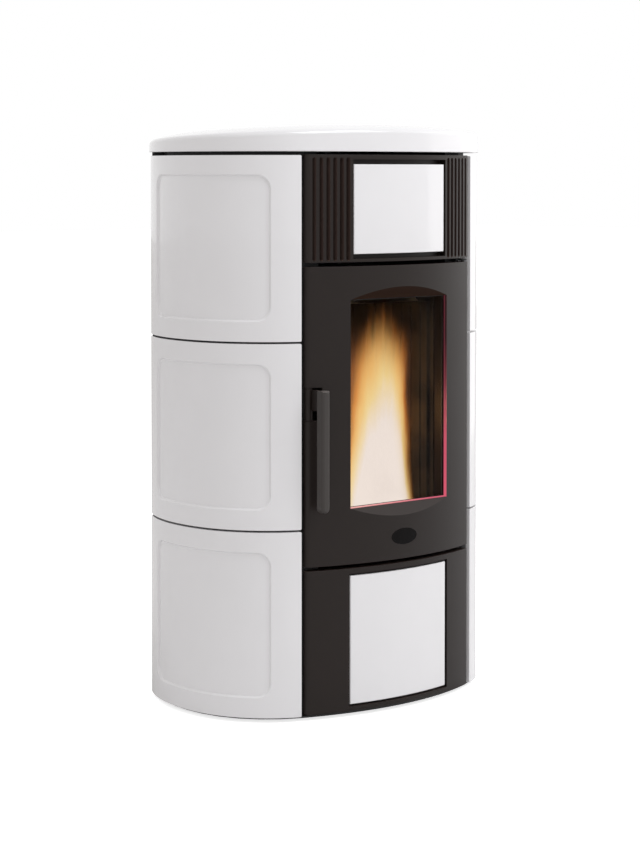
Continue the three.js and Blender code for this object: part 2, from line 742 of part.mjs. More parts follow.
// ---- Firebox ------------------------------------------------------------------------------------
const fire = { half: 143, rear: 255, foot: 300, top: 850, floor: 346, inside: 350 };
const pot = { half: 45, front: 97, rear: 183, foot: 356, top: 404, wall: 2.5 };
const holder = { half: pot.half + 13, front: pot.front - 7, rear: pot.rear + 7, top: 396 };
const chute = { half: 25, z0: 588, z1: 634, wall: 2.5, front: 225, rear: 261.7 };
const igniter = { x: 38, z: 373, radius: 5 };
const fan = { x: 80, z: 190, radius: 75, front: 262, rear: 322, inlet: 33, wall: 3, hub: 5 };
const smokeHole = { x: fan.x, front: 212, rear: 245, half: 30 };
const ashSlot = { inner: fire.half - 43, outer: fire.half - 18, front: 60, rear: 220 };
const airHoleRadius = airPipe.radius + slip;

function firebox() {
  const inner = fire.half - boxWall;
  const [front, back] = [flangeFront, fire.rear];
  const shell = join(
    box(-fire.half, fire.half, front, back, fire.foot, fire.top),
    box(-gasket.half - 7.5, gasket.half + 7.5, front, front + plate, doorFoot + 2, doorTop - 4),
    box(-fire.half, -inner, front + 3, back, standing, fire.foot + 1),
    box(inner, fire.half, front + 3, back, standing, fire.foot + 1));
  return cut(shell,
    box(-inner, inner, front - 1, back - boxWall, fire.inside, fire.top - boxWall),
    box(-inner, inner, front - 1, back - boxWall, fire.foot + boxWall, fire.floor),
    box(-fire.half - 1, fire.half + 1, front + 40, back - 40, standing + 40, fire.foot - 40),
    box(1 - pot.half, pot.half - 1, pot.front + 7, pot.rear - 7, fire.floor - 1, fire.inside + 1),
    box(smokeHole.x - smokeHole.half, smokeHole.x + smokeHole.half, smokeHole.front, smokeHole.rear,
      fire.foot - 1, fire.foot + boxWall + 1),
    box(-ashSlot.outer, -ashSlot.inner, ashSlot.front, ashSlot.rear, fire.floor - 1, fire.inside + 1),
    box(ashSlot.inner, ashSlot.outer, ashSlot.front, ashSlot.rear, fire.floor - 1, fire.inside + 1),
    chuteHole(back - boxWall, back),
    rod(airHoleRadius, [0, back - 10, airPipe.z], [0, back + 1, airPipe.z], 20),
    igniterHole(back - 10, back + 1));
}

function igniterHole(y0, y1) {
  const { x, z, radius } = igniter;
  return rod(radius + slip, [x, y0, z], [x, y1, z], 12);
}

// The hole that the sloping chute takes through an upright wall between two y positions.
function chuteHole(y0, y1) {
  const low = chute.z0 - (chute.rear - y0) - slip;
  const high = chute.z1 - (chute.rear - y1) + slip;
  return box(-chute.half - slip, chute.half + slip, y0 - 1, y1 + 1, low, high);
}

const linerTop = 780;
const ribPitch = 23;

function linerBack() {
  const [y0, y1] = [fire.rear - boxWall - seat - 10, fire.rear - boxWall - seat];
  const half = fire.half - boxWall - seat;
  let body = box(-half, half, y0, y1, fire.inside + seat, linerTop);
  for (let x = -half + 20; x < half - 8; x += ribPitch) {
    if (Math.abs(x) < chute.half + 12) continue;
    body = body.add(box(x - 4, x + 4, y0 - 5, y0 + 1, fire.inside + 8, linerTop - 8));
  }
  return cut(body, chuteHole(y0, y1),
    rod(airHoleRadius, [0, y0 - 6, airPipe.z], [0, y1 + 1, airPipe.z], 20),
    igniterHole(y0 - 6, y1 + 1));
}

function linerSide(side) {
  const outer = fire.half - boxWall - seat;
  const inner = outer - 9;
  const [y0, y1] = [flangeFront + 9, fire.rear - boxWall - 10 - 2 * seat];
  const rib = (y) => box(inner - 4, inner + 1, y - 4, y + 4, fire.inside + 30, linerTop - 8);
  const ribs = Array.from({ length: 7 }, (_, i) => rib(y0 + 20 + i * 26));
  const body = join(box(inner, outer, y0, y1, fire.inside + seat, linerTop), ...ribs);
  return side < 0 ? body.mirror([1, 0, 0]) : body;
}

function bafflePlate() {
  const half = fire.half - boxWall - 3;
  const rear = fire.rear - boxWall - 2;
  const profile = [
    [flangeFront + 40, linerTop + seat], [rear, linerTop + seat], [rear, linerTop + 12],
    [flangeFront + 52, linerTop + 12],
  ];
  return prismX(profile, -half, half);
}

function burnPotHolder() {
  const foot = fire.inside + seat;
  const outer = box(-holder.half, holder.half, holder.front, holder.rear, foot, holder.top);
  const potHole = box(-pot.half - slip, pot.half + slip, pot.front - slip, pot.rear + slip,
    foot, holder.top + 1);
  const inner = box(-holder.half + plate, holder.half - plate, holder.front + plate, holder.rear - plate,
    foot - 1, holder.top - plate);
  return cut(outer, inner, potHole,
    rod(airHoleRadius - 0.2, [0, holder.rear - 10, airPipe.z], [0, holder.rear + 1, airPipe.z], 20),
    igniterHole(holder.rear - 10, holder.rear + 1));
}

function burnPot() {
  const lip = holder.top + seat;
  const cup = box(-pot.half, pot.half, pot.front, pot.rear, pot.foot, pot.top);
  const rim = box(-pot.half - 8, pot.half + 8, pot.front - 5, pot.rear + 5, lip, lip + plate);
  const inside = box(-pot.half + pot.wall, pot.half - pot.wall, pot.front + pot.wall, pot.rear - pot.wall,
    pot.foot + plate, pot.top + 1);
  let body = cut(join(cup, rim), inside);
  for (let i = -1; i <= 1; i++) {
    for (let j = -1; j <= 1; j++) {
      const [x, y] = [i * 26, (pot.front + pot.rear) / 2 + j * 22];
      body = body.subtract(rod(3.5, [x, y, pot.foot - 1], [x, y, pot.foot + plate + 1], 6));
    }
  }
  return body;
}

const drawer = { half: fire.half - 15, front: 26, rear: 200, top: 340 };

function ashDrawer() {
  const foot = fire.foot + boxWall + seat;
  const outer = box(-drawer.half, drawer.half, drawer.front, drawer.rear, foot, drawer.top);
  const inside = box(-drawer.half + sheet, drawer.half - sheet, drawer.front + sheet, drawer.rear - sheet,
    foot + sheet, drawer.top + 1);
  const pull = box(-30, 30, drawer.front - 1, drawer.front + sheet + 1, drawer.top - 16, drawer.top + 1);
  return cut(outer, inside, pull);
}

// ---- Fuel feed ----------------------------------------------------------------------------------
const hopper = {
  half: mouth.half + 5, front: mouth.front - 4, rear: mouth.rear + 6,
  shoulder: 830, foot: 612, wall: 2.5,
};
const augerTilt = THREE.MathUtils.degToRad(38);
const augerStart = [-168, 325, 488];
const augerLength = 250;
const augerRadius = 28;
const augerWall = 3;
const screwRadius = augerRadius - augerWall - 2;
const shaftRadius = 5;
const throat = {
  x0: -138, x1: -62, y0: augerStart[1] - augerRadius, y1: augerStart[1] + augerRadius, foot: 530,
};

function rectangle(x0, x1, y0, y1, z) {
  return [[x0, y0, z], [x1, y0, z], [x1, y1, z], [x0, y1, z]];
}

function hopperBody() {
  const w = hopper.wall;
  const { half, front, rear } = hopper;
  const { x0, x1, y0, y1 } = throat;
  const funnel = (grow, foot, top) => solid(loft([
    rectangle(x0 + w - grow, x1 - w + grow, y0 + w - grow, y1 - w + grow, foot),
    rectangle(-half - grow, half + grow, front - grow, rear + grow, hopper.shoulder),
    rectangle(-half - grow, half + grow, front - grow, rear + grow, top),
  ]));
  return funnel(0, hopper.foot, carcassTop).subtract(funnel(-w, hopper.foot - 0.01, carcassTop + 1));
}

function hopperGrid() {
  const w = hopper.wall + slip;
  const [z0, z1] = [carcassTop - 40, carcassTop - 36];
  const [x0, x1, y0, y1] = [-hopper.half + w, hopper.half - w, hopper.front + w, hopper.rear - w];
  let body = box(x0, x1, y0, y1, z0, z1);
  const [columns, rows, bar] = [6, 3, 5];
  const cellX = (x1 - x0 - bar) / columns;
  const cellY = (y1 - y0 - bar) / rows;
  for (let i = 0; i < columns; i++) {
    for (let j = 0; j < rows; j++) {
      const [x, y] = [x0 + bar + i * cellX, y0 + bar + j * cellY];
      body = body.subtract(box(x, x + cellX - bar, y, y + cellY - bar, z0 - 1, z1 + 1));
    }
  }
  return body;
}

function alongAuger(distance, lift = 0) {
  const [x, y, z] = augerStart;
  return [
    x + distance * Math.cos(augerTilt) - lift * Math.sin(augerTilt), y,
    z + distance * Math.sin(augerTilt) + lift * Math.cos(augerTilt),
  ];
}

// The tube that holds the screw, with its throat under the hopper and its spout to the chute.
function augerTube() {
  const w = augerWall;
  const throatTop = hopper.foot - seat;
  const spout = [-chute.half, chute.half, chute.rear + seat, augerStart[1]];
  const outer = join(
    rod(augerRadius, alongAuger(0), alongAuger(augerLength), 16),
    box(throat.x0, throat.x1, throat.y0, throat.y1, throat.foot, throatTop),
    box(...spout, chute.z0, chute.z1));
  const inner = join(
    rod(augerRadius - w, alongAuger(w), alongAuger(augerLength - w), 16),
    box(throat.x0 + w, throat.x1 - w, throat.y0 + w, throat.y1 - w, throat.foot + 10, throatTop + 1),
    box(spout[0] + w, spout[1] - w, spout[2] - 1, spout[3], chute.z0 + w, chute.z1 - w),
    rod(shaftRadius + pinPlay, alongAuger(-1), alongAuger(w + 1), 12));
  return outer.subtract(inner);
}

// The screw: a helical flight swept round its shaft.
function augerScrew() {
  const [from, to, pitch, thick, perTurn] = [12, augerLength - 12, 50, 3, 10];
  const turns = (to - from) / pitch;
  const count = Math.round(turns * perTurn);
  const rings = steps(count).map((t) => {
    const angle = t * turns * 2 * Math.PI;
    const z = from + t * (to - from);
    const [c, s] = [Math.cos(angle), Math.sin(angle)];
    const at = (radius, dz) => [radius * c, radius * s, z + dz];
    return [at(4, -thick / 2), at(screwRadius, -thick / 2), at(screwRadius, thick / 2), at(4, thick / 2)];
  });
  const flight = solid(turnedInsideOut(loft(rings)));
  const core = rod(8, [0, 0, from - 6], [0, 0, to + 6], 10);
  const shaft = rod(shaftRadius, [0, 0, -20], [0, 0, from], 12);
  const tilt = THREE.MathUtils.radToDeg(Math.PI / 2 - augerTilt);
  return join(flight, core, shaft).rotate([0, tilt, 0]).translate(augerStart);
}

function augerMotor() {
  const frame = (distance, across, lift) => {
    const [x, , z] = alongAuger(distance, lift);
    return [x, augerStart[1] + across, z];
  };
  const half = augerRadius;
  const gearbox = solid(loft([-half, half].map((lift) => [
    frame(-45, -half, lift), frame(-seat, -half, lift), frame(-seat, half, lift), frame(-45, half, lift),
  ])));
  const can = rod(25, alongAuger(-95), alongAuger(-44), 24);
  const bore = rod(shaftRadius + pinPlay, alongAuger(-22), alongAuger(1), 16);
  return join(gearbox, can).subtract(bore);
}

// The chute slopes at 45 degrees from the tube's spout through the rear wall of the firebox.
function feedChute() {
  const drop = (y) => chute.rear - y;
  const channel = (y0, y1, wall, half) => prismX([
    [y0, chute.z0 - drop(y0) + wall], [y1, chute.z0 - drop(y1) + wall],
    [y1, chute.z1 - drop(y1) - wall], [y0, chute.z1 - drop(y0) - wall],
  ], -half, half);
  const upright = chute.wall * Math.SQRT2;
  const inner = channel(chute.front - 5, chute.rear + 5, upright, chute.half - chute.wall);
  return channel(chute.front, chute.rear, 0, chute.half).subtract(inner);
}

// ---- Smoke path ---------------------------------------------------------------------------------
function smokeDuct() {
  const [x0, x1] = [fan.x - 38, fan.x + 38];
  const [front, rear] = [smokeHole.front - 7, fan.front - seat];
  const [foot, top] = [fan.z - 42, fire.foot - seat];
  const outer = box(x0, x1, front, rear, foot, top);
  const inner = box(x0 + plate, x1 - plate, front + plate, rear - plate, foot + plate, top + 1);
  return cut(outer, inner, rod(fan.inlet, [fan.x, rear - 12, fan.z], [fan.x, rear + 1, fan.z], 16));
}

function discOutline(x, z, radius, sides) {
  return steps(sides).slice(0, -1).map((t) => [
    x + radius * Math.cos(t * 2 * Math.PI), z + radius * Math.sin(t * 2 * Math.PI)]);
}

function smokeFanHousing() {
  const w = fan.wall;
  const scroll = (grow, y0, y1) => join(
    prismY(discOutline(fan.x, fan.z, fan.radius - grow, 24), y0, y1),
    box(flue.x - 60 + grow, fan.x, y0, y1, flue.z - 60 + grow, flue.z + 60 - grow)
      .subtract(box(0, 200, y0 - 1, y1 + 1, 0, flue.z - 45 + grow))
      .subtract(box(0, 200, y0 - 1, y1 + 1, fan.z + fan.radius - grow, 400)));
  return cut(scroll(0, fan.front, fan.rear), scroll(w, fan.front + w, fan.rear - w),
    rod(fan.inlet, [fan.x, fan.front - 1, fan.z], [fan.x, fan.front + w + 1, fan.z], 16),
    rod(fan.hub + pinPlay, [fan.x, fan.rear - w - 1, fan.z], [fan.x, fan.rear + 1, fan.z], 12),
    rod(flue.radius - flue.wall, [flue.x, fan.rear - w - 1, flue.z], [flue.x, fan.rear + 1, flue.z], 20));
}

function smokeFanImpeller() {
  const backY = fan.rear - fan.wall - 8;
  const disc = rod(60, [fan.x, backY, fan.z], [fan.x, backY + 3, fan.z], 20);
  const boss = rod(12, [fan.x, backY - 20, fan.z], [fan.x, backY + 1, fan.z], 12);
  const shaft = rod(fan.hub, [fan.x, backY, fan.z], [fan.x, fan.rear + 12, fan.z], 12);
  const blades = Array.from({ length: 8 }, (_, i) => {
    const blade = prismZ([[18, -1], [57, -1], [57, 1], [18, 1]], 0, 26);
    const curved = blade.rotate([0, 0, 12]).translate([0, -3, 0]).rotate([0, 0, i * 45]);
    return curved.rotate([90, 0, 0]).translate([fan.x, backY + 0.5, fan.z]);
  });
  return join(disc, boss, shaft, ...blades);
}

function smokeFanMotor() {
  const y = fan.rear + seat;
  const can = rod(36, [fan.x, y, fan.z], [fan.x, y + 48, fan.z], 20);
  const cap = rod(18, [fan.x, y + 47, fan.z], [fan.x, y + 62, fan.z], 12);
  const bore = rod(fan.hub + pinPlay, [fan.x, y - 1, fan.z], [fan.x, y + 14, fan.z], 12);
  return join(can, cap).subtract(bore);
}

function flueSpigot() {
  const { x, z, radius, wall, reach } = flue;
  const y = fan.rear + seat;
  const pipe = rod(radius, [x, y, z], [x, reach, z], 24);
  const flange = rod(radius + 10, [x, y, z], [x, y + plate, z], 24);
  return join(pipe, flange).subtract(rod(radius - wall, [x, y - 1, z], [x, reach + 1, z], 24));
}

function airInletPipe() {
  const { z, radius, wall, reach } = airPipe;
  const y0 = holder.rear + seat;
  const pipe = rod(radius, [0, y0, z], [0, reach, z], 20);
  return pipe.subtract(rod(radius - wall, [0, y0 - 1, z], [0, reach + 1, z], 20));
}

function igniterRod() {
  const { x, z, radius } = igniter;
  const back = fire.rear + seat;
  const stick = rod(radius, [x, pot.rear + 1.5, z], [x, back + 1, z], 12);
  const head = rod(radius + 4, [x, back, z], [x, back + 22, z], 16);
  return join(stick, head);
}

// ---- Room air fan -------------------------------------------------------------------------------
const blower = { y: 120, z: 82, radius: 32, half: 100, wall: 2, shaft: 4, front: 52, rear: 60, rise: 58 };

// A crossflow blower: air enters at the front and leaves upwards, between the scroll and the tongue.
function roomFanHousing() {
  const { y, z, radius, half, wall, rise } = blower;
  const at = (degrees, clearance) => {
    const angle = THREE.MathUtils.degToRad(degrees);
    return [y + (radius + clearance) * Math.cos(angle), z + (radius + clearance) * Math.sin(angle)];
  };
  const scroll = steps(9).map((t) => at(130 * (t - 1), 4 + 18 * t));
  const rearWall = [scroll.at(-1)[0], z + rise];
  const tongueCurl = [130, 110, 90].map((degrees) => at(degrees, 4));
  const tongue = [...tongueCurl, [y, z + rise]];
  const cheek = (x) => prismX([
    [y - blower.front, standing], [y + blower.rear, standing],
    [y + blower.rear, z + rise], [y - blower.front, z + rise]], x, x + wall);
  const tray = box(-half - 1, half + 1, y - blower.front, y + blower.rear, standing, standing + wall);
  const bore = rod(blower.shaft + pinPlay, [half - 5, y, z], [half + 10, y, z], 16);
  return cut(join(
    prismX(strip([...scroll, rearWall], wall), -half, half),
    prismX(strip(tongue, wall), -half, half),
    cheek(-half - wall + 0.5), cheek(half - 0.5), tray), bore);
}

function roomFanImpeller() {
  const { y, z, radius, half, shaft: shaftSize } = blower;
  const inner = half - 4;
  const disc = (x) => rod(radius, [x, y, z], [x + 2, y, z], 16);
  const blades = Array.from({ length: 16 }, (_, i) => {
    const angle = (i / 16) * 360;
    return box(-inner, inner, -1.2, 1.2, radius - 8, radius - 1).rotate([20, 0, 0])
      .translate([0, -(radius - 5) * Math.sin(-0.35), 0]).rotate([angle, 0, 0]).translate([0, y, z]);
  });
  const shaft = rod(shaftSize, [inner - 1, y, z], [half + 14, y, z], 16);
  return join(disc(-inner), disc(inner - 2), shaft, ...blades);
}

function roomFanMotor() {
  const { y, z, half, wall } = blower;
  const x = half + wall - 0.5 + seat;
  const can = rod(28, [x, y, z], [x + 28, y, z], 24);
  return can.subtract(rod(blower.shaft + pinPlay, [x - 1, y, z], [x + 16, y, z], 16));
}

// ---- Electrics ----------------------------------------------------------------------------------
const rocker = { z: powerModule.z + 15, halfWidth: 9, halfHeight: 11, pivotY: rearSetback - 4 };

// The inlet: a flange with a socket below and the well of a rocker switch above.
function powerInlet() {
  const { x, z } = powerModule;
  const face = rearSetback + seat;
  const body = join(
    window(powerModule, 0, rearSetback - 28, face + 1),
    window(powerModule, 5, face, rearSetback + 3));
  const socket = box(x - 12, x + 12, rearSetback - 18, rearSetback + 5, z - 24, z - 8);
  const { halfWidth, halfHeight } = rocker;
  const well = box(x - halfWidth - slip, x + halfWidth + slip, rearSetback - 16, rearSetback + 5,
    rocker.z - halfHeight - 1, rocker.z + halfHeight + 1);
  const blades = [[-7, 0], [0, 3], [7, 0]].map(([dx, dz]) => box(x + dx - 1, x + dx + 1,
    rearSetback - 19, rearSetback - 4, z - 18 + dz, z - 13 + dz));
  return join(cut(body, socket, well), ...blades);
}

function powerSwitch() {
  const { x } = powerModule;
  const { z, halfWidth, halfHeight, pivotY } = rocker;
  const face = steps(6).map((t) => {
    const height = (2 * t - 1) * halfHeight;
    return [5.5 - 2.2 * (1 - (height / halfHeight) ** 2), height];
  });
  const section = [[-3, -halfHeight + 3], ...face, [-3, halfHeight - 3]].reverse();
  const body = prismX(section, x - halfWidth, x + halfWidth);
  return body.rotate([8, 0, 0]).translate([0, pivotY, z]);
}

function controlPanel() {
  const { x, z, halfWidth, halfHeight } = keypad;
  const front = rearSetback + seat;
  const pad = box(x - halfWidth, x + halfWidth, front, front + 3, z - halfHeight, z + halfHeight);
  const display = box(x - 24, x + 24, front + 2.4, front + 4, z + 4, z + 18);
  const dimples = [-26, -9, 9, 26].map((dx) =>
    rod(5, [x + dx, front + 2.4, z - 12], [x + dx, front + 4, z - 12], 8));
  return cut(pad, display, ...dimples);
}

// ---- Assembly -----------------------------------------------------------------------------------
add('base_plate', basePlate(), blackSteel);
for (const [corner, place] of Object.entries(footPlaces)) {
  add('foot_' + corner, levellingFoot(place), zincSteel);
}
const postSolid = prismZ(frontPost(), standing, carcassTop);
add('front_post_right', postSolid, blackSteel);
add('front_post_left', postSolid.mirror([1, 0, 0]).subtract(latchOpening()), blackSteel);
const linerSolid = prismZ(sideLiner(), standing, carcassTop);
add('side_liner_right', linerSolid, zincSteel);
add('side_liner_left', linerSolid.mirror([1, 0, 0]), zincSteel);
add('rear_panel', rearPanel(), blackSteel);
add('top_frame', topFrame(), blackSteel);
sideTiles();
const crown = crownSolid();
add('top_slab', topSlab(crown), white);
add('hopper_lid', hopperLid(crown), white);
add('lid_pin', lidPin(lidPinRadius, lid.half + 12), zincSteel);

add('grille_panel', grillePanel(), anthracite);
const upperTileFoot = grilleFoot + upperTile.foot;
const upperTileHeight = grilleTop - upperTile.top - upperTileFoot;
add('upper_tile', columnTile(upperTile.half, upperTileFoot, upperTileHeight,
  tileProud, columnTileThickness), white);
add('lower_panel', lowerPanel(), anthracite);
const lowerTileFoot = lowerPanelFoot + lowerTile.foot;
const lowerTileHeight = lowerPanelTop - lowerTile.top - lowerTileFoot;
add('lower_tile', columnTile(lowerTile.half, lowerTileFoot, lowerTileHeight,
  tileProud, columnTileThickness), white);

add('door_frame', doorFrame(), anthracite);
add('door_glass', doorGlass(), clearGlass);
add('glass_retainer', glassRetainer(), zincSteel);
add('door_gasket', doorGasket(), rope);
add('hinge_bracket_bottom', hingeBracket(true), zincSteel);
add('hinge_bracket_top', hingeBracket(false), zincSteel);
add('handle_lever', handleLever(), anthracite);
add('handle_grip', handleGrip(), anthracite);
add('latch_keeper', latchKeeper(), zincSteel);

add('firebox', firebox(), blackSteel);
add('liner_back', linerBack(), castIron);
add('liner_left', linerSide(-1), castIron);
add('liner_right', linerSide(1), castIron);
add('baffle_plate', bafflePlate(), vermiculite);
add('burn_pot_holder', burnPotHolder(), castIron);
add('burn_pot', burnPot(), castIron);
add('ash_drawer', ashDrawer(), zincSteel);
add('igniter', igniterRod(), stainless);
add('air_inlet_pipe', airInletPipe(), zincSteel);

add('hopper', hopperBody(), zincSteel);
add('hopper_grid', hopperGrid(), zincSteel);
add('auger_tube', augerTube(), zincSteel);
add('auger_screw', augerScrew(), stainless);
add('auger_motor', augerMotor(), zincSteel);
add('feed_chute', feedChute(), zincSteel);

add('smoke_duct', smokeDuct(), zincSteel);
add('smoke_fan_housing', smokeFanHousing(), zincSteel);
add('smoke_fan_impeller', smokeFanImpeller(), stainless);
add('smoke_fan_motor', smokeFanMotor(), blackPlastic);
add('flue_spigot', flueSpigot(), blackSteel);

add('room_fan_housing', roomFanHousing(), zincSteel);
add('room_fan_impeller', roomFanImpeller(), blackPlastic);
add('room_fan_motor', roomFanMotor(), zincSteel);

add('power_inlet', powerInlet(), blackPlastic);
add('power_switch', powerSwitch(), blackPlastic);
add('control_panel', controlPanel(), blackPlastic);

// The origin is on the floor under the middle of the stove's box.
const extent = new THREE.Box3().setFromObject(stove);
const middle = extent.getCenter(new THREE.Vector3());
stove.position.set(-middle.x, -middle.y, -extent.min.z);

export default stove;
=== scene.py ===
"""A pellet stove with a rounded plan: white glazed tiles and top round a dark, curved front column."""

import math
import random
from contextlib import contextmanager

import bmesh
import bpy
from bpy.props import FloatProperty, FloatVectorProperty, IntProperty, PointerProperty
from mathutils import Euler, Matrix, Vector

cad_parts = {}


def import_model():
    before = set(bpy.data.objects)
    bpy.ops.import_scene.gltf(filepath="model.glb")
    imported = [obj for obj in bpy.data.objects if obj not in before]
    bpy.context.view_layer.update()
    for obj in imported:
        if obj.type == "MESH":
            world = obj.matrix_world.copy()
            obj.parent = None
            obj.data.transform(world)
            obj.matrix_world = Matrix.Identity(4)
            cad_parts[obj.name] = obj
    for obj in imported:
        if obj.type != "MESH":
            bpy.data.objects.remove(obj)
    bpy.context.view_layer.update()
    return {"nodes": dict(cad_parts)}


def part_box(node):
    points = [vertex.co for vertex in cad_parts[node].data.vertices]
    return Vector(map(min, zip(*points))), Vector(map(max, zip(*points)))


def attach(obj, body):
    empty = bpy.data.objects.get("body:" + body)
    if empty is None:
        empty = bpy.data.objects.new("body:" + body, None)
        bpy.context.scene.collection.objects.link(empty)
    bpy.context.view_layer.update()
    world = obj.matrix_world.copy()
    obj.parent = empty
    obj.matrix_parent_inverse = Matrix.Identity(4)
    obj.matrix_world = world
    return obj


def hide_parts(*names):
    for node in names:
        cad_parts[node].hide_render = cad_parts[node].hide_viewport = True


bl_info = {
    "name": "Tiled pellet stove",
    "version": (1, 0, 0),
    "blender": (4, 5, 0),
    "location": "View3D > Sidebar > Stove",
    "description": "Models the tiles, top, column, door, handle and fire of a tiled pellet stove",
    "category": "Add Mesh",
}

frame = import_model()
MM = 0.001


# ---- The plan of the stove ------------------------------------------------------------------------
class Plan:
    """The stove seen from above: the column's arc in front and two arcs down each side."""

    column_half = 217 * MM
    column_bulge = 41 * MM
    nose_radius = 10 * MM
    tile_gap = 6.5 * MM
    shoulder_radius = 192 * MM
    shoulder_arc = 206 * MM
    flank_radius = 320 * MM
    flank_arc = 227 * MM
    tile_depth = 26 * MM

    def __init__(self, front):
        """front is the y of the column's foremost line."""
        self.chord_y = front + self.column_bulge
        self.column_radius = (self.column_half**2 + self.column_bulge**2) / (2 * self.column_bulge)
        self.column_centre = front + self.column_radius
        end = math.asin(self.column_half / self.column_radius)
        start = Vector((
            self.column_half + self.tile_gap * math.cos(end),
            self.chord_y + self.tile_gap * math.sin(end),
        ))
        self.column_end = end
        self.shoulder_end = end + self.shoulder_arc / self.shoulder_radius
        self.shoulder = self._centre(start, end, self.shoulder_radius)
        turn = self._on(self.shoulder, self.shoulder_radius, self.shoulder_end)
        self.flank = self._centre(turn, self.shoulder_end, self.flank_radius)
        self.side_length = self.shoulder_arc + self.flank_arc
        self.nose_x = self.column_half - self.nose_radius
        reach = self.column_radius - self.nose_radius
        self.nose_y = self.column_centre - math.sqrt(reach**2 - self.nose_x**2)
        self.nose_angle = math.asin(self.nose_x / reach)
        self.panel_rear = self.nose_y + self.nose_radius

    @staticmethod
    def _centre(point, heading, radius):
        return Vector((point.x - radius * math.sin(heading), point.y + radius * math.cos(heading)))

    @staticmethod
    def _on(centre, radius, heading):
        return Vector((centre.x + radius * math.sin(heading), centre.y - radius * math.cos(heading)))

    def side(self, arc, depth=0.0):
        """A point on the right flank, by length from the tile's front edge and by depth."""
        if arc <= self.shoulder_arc:
            heading = self.column_end + arc / self.shoulder_radius
            return self._on(self.shoulder, self.shoulder_radius - depth, heading)
        heading = self.shoulder_end + (arc - self.shoulder_arc) / self.flank_radius
        return self._on(self.flank, self.flank_radius - depth, heading)

    def side_arc_at(self, y, depth):
        """The length at which the flank, at a depth, comes back to a given y."""
        heading = math.acos((self.flank.y - y) / (self.flank_radius - depth))
        return self.shoulder_arc + (heading - self.shoulder_end) * self.flank_radius

    def face_y(self, x, depth=0.0):
        """The y of the column's face at x, at a depth behind it."""
        return self.column_centre - math.sqrt((self.column_radius - depth) ** 2 - x**2)

    def inset(self, x, y):
        """How far a point lies inside the cladding's face."""
        at = Vector((abs(x), y))
        heading = math.atan2(at.x - self.shoulder.x, self.shoulder.y - at.y)
        if heading < self.column_end:
            return self.column_radius - math.hypot(x, y - self.column_centre)
        if heading < self.shoulder_end:
            return self.shoulder_radius - (at - self.shoulder).length
        return self.flank_radius - (at - self.flank).length

    def column_line(self, x0, x1, depth, count):
        """Points along the column's face from one x to another, at a depth."""
        places = [x0 + (x1 - x0) * i / count for i in range(count + 1)]
        return [(x, self.face_y(x, depth)) for x in places]

    def panel_outline(self):
        """A column panel: the arc, two half-round noses and a flat rear."""
        count, turns = 56, 14
        arc = []
        for i in range(1, count):
            angle = self.nose_angle * (2 * i / count - 1)
            arc.append((
                self.column_radius * math.sin(angle),
                self.column_centre - self.column_radius * math.cos(angle),
            ))
        nose = []
        for i in range(turns + 1):
            angle = self.nose_angle - math.pi / 2 + i / turns * (math.pi - self.nose_angle)
            nose.append((
                self.nose_x + self.nose_radius * math.cos(angle),
                self.nose_y + self.nose_radius * math.sin(angle),
            ))
        return arc + nose + mirrored(nose)

    def body_outline(self, inset, rear):
        """The whole outline of the stove, inset from the cladding's face, down to a flat rear."""
        edge = self.column_half - inset * math.sin(self.column_end)
        half = self.column_line(0, edge, inset, 26)[1:]
        last = self.side_arc_at(rear, inset)
        count = 60
        first = 2 * MM
        half += [tuple(self.side(first + (last - first) * i / count, inset)) for i in range(count + 1)]
        return [(0, self.face_y(0, inset))] + half + mirrored(half)


def mirrored(points):
    return [(-x, y) for x, y in reversed(points)]


door_low, door_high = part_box("door_frame")
grille_low, grille_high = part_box("grille_panel")
lower_low, lower_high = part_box("lower_panel")
slab_low, slab_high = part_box("top_slab")
plan = Plan(door_low.y)


# ---- Settings -------------------------------------------------------------------------------------
def length(name, description, millimetres):
    return FloatProperty(name=name, description=description, default=millimetres * MM, unit="LENGTH")


def colour(name, description, value):
    return FloatVectorProperty(
        name=name, description=description, default=value, subtype="COLOR", size=3, min=0, max=1
    )


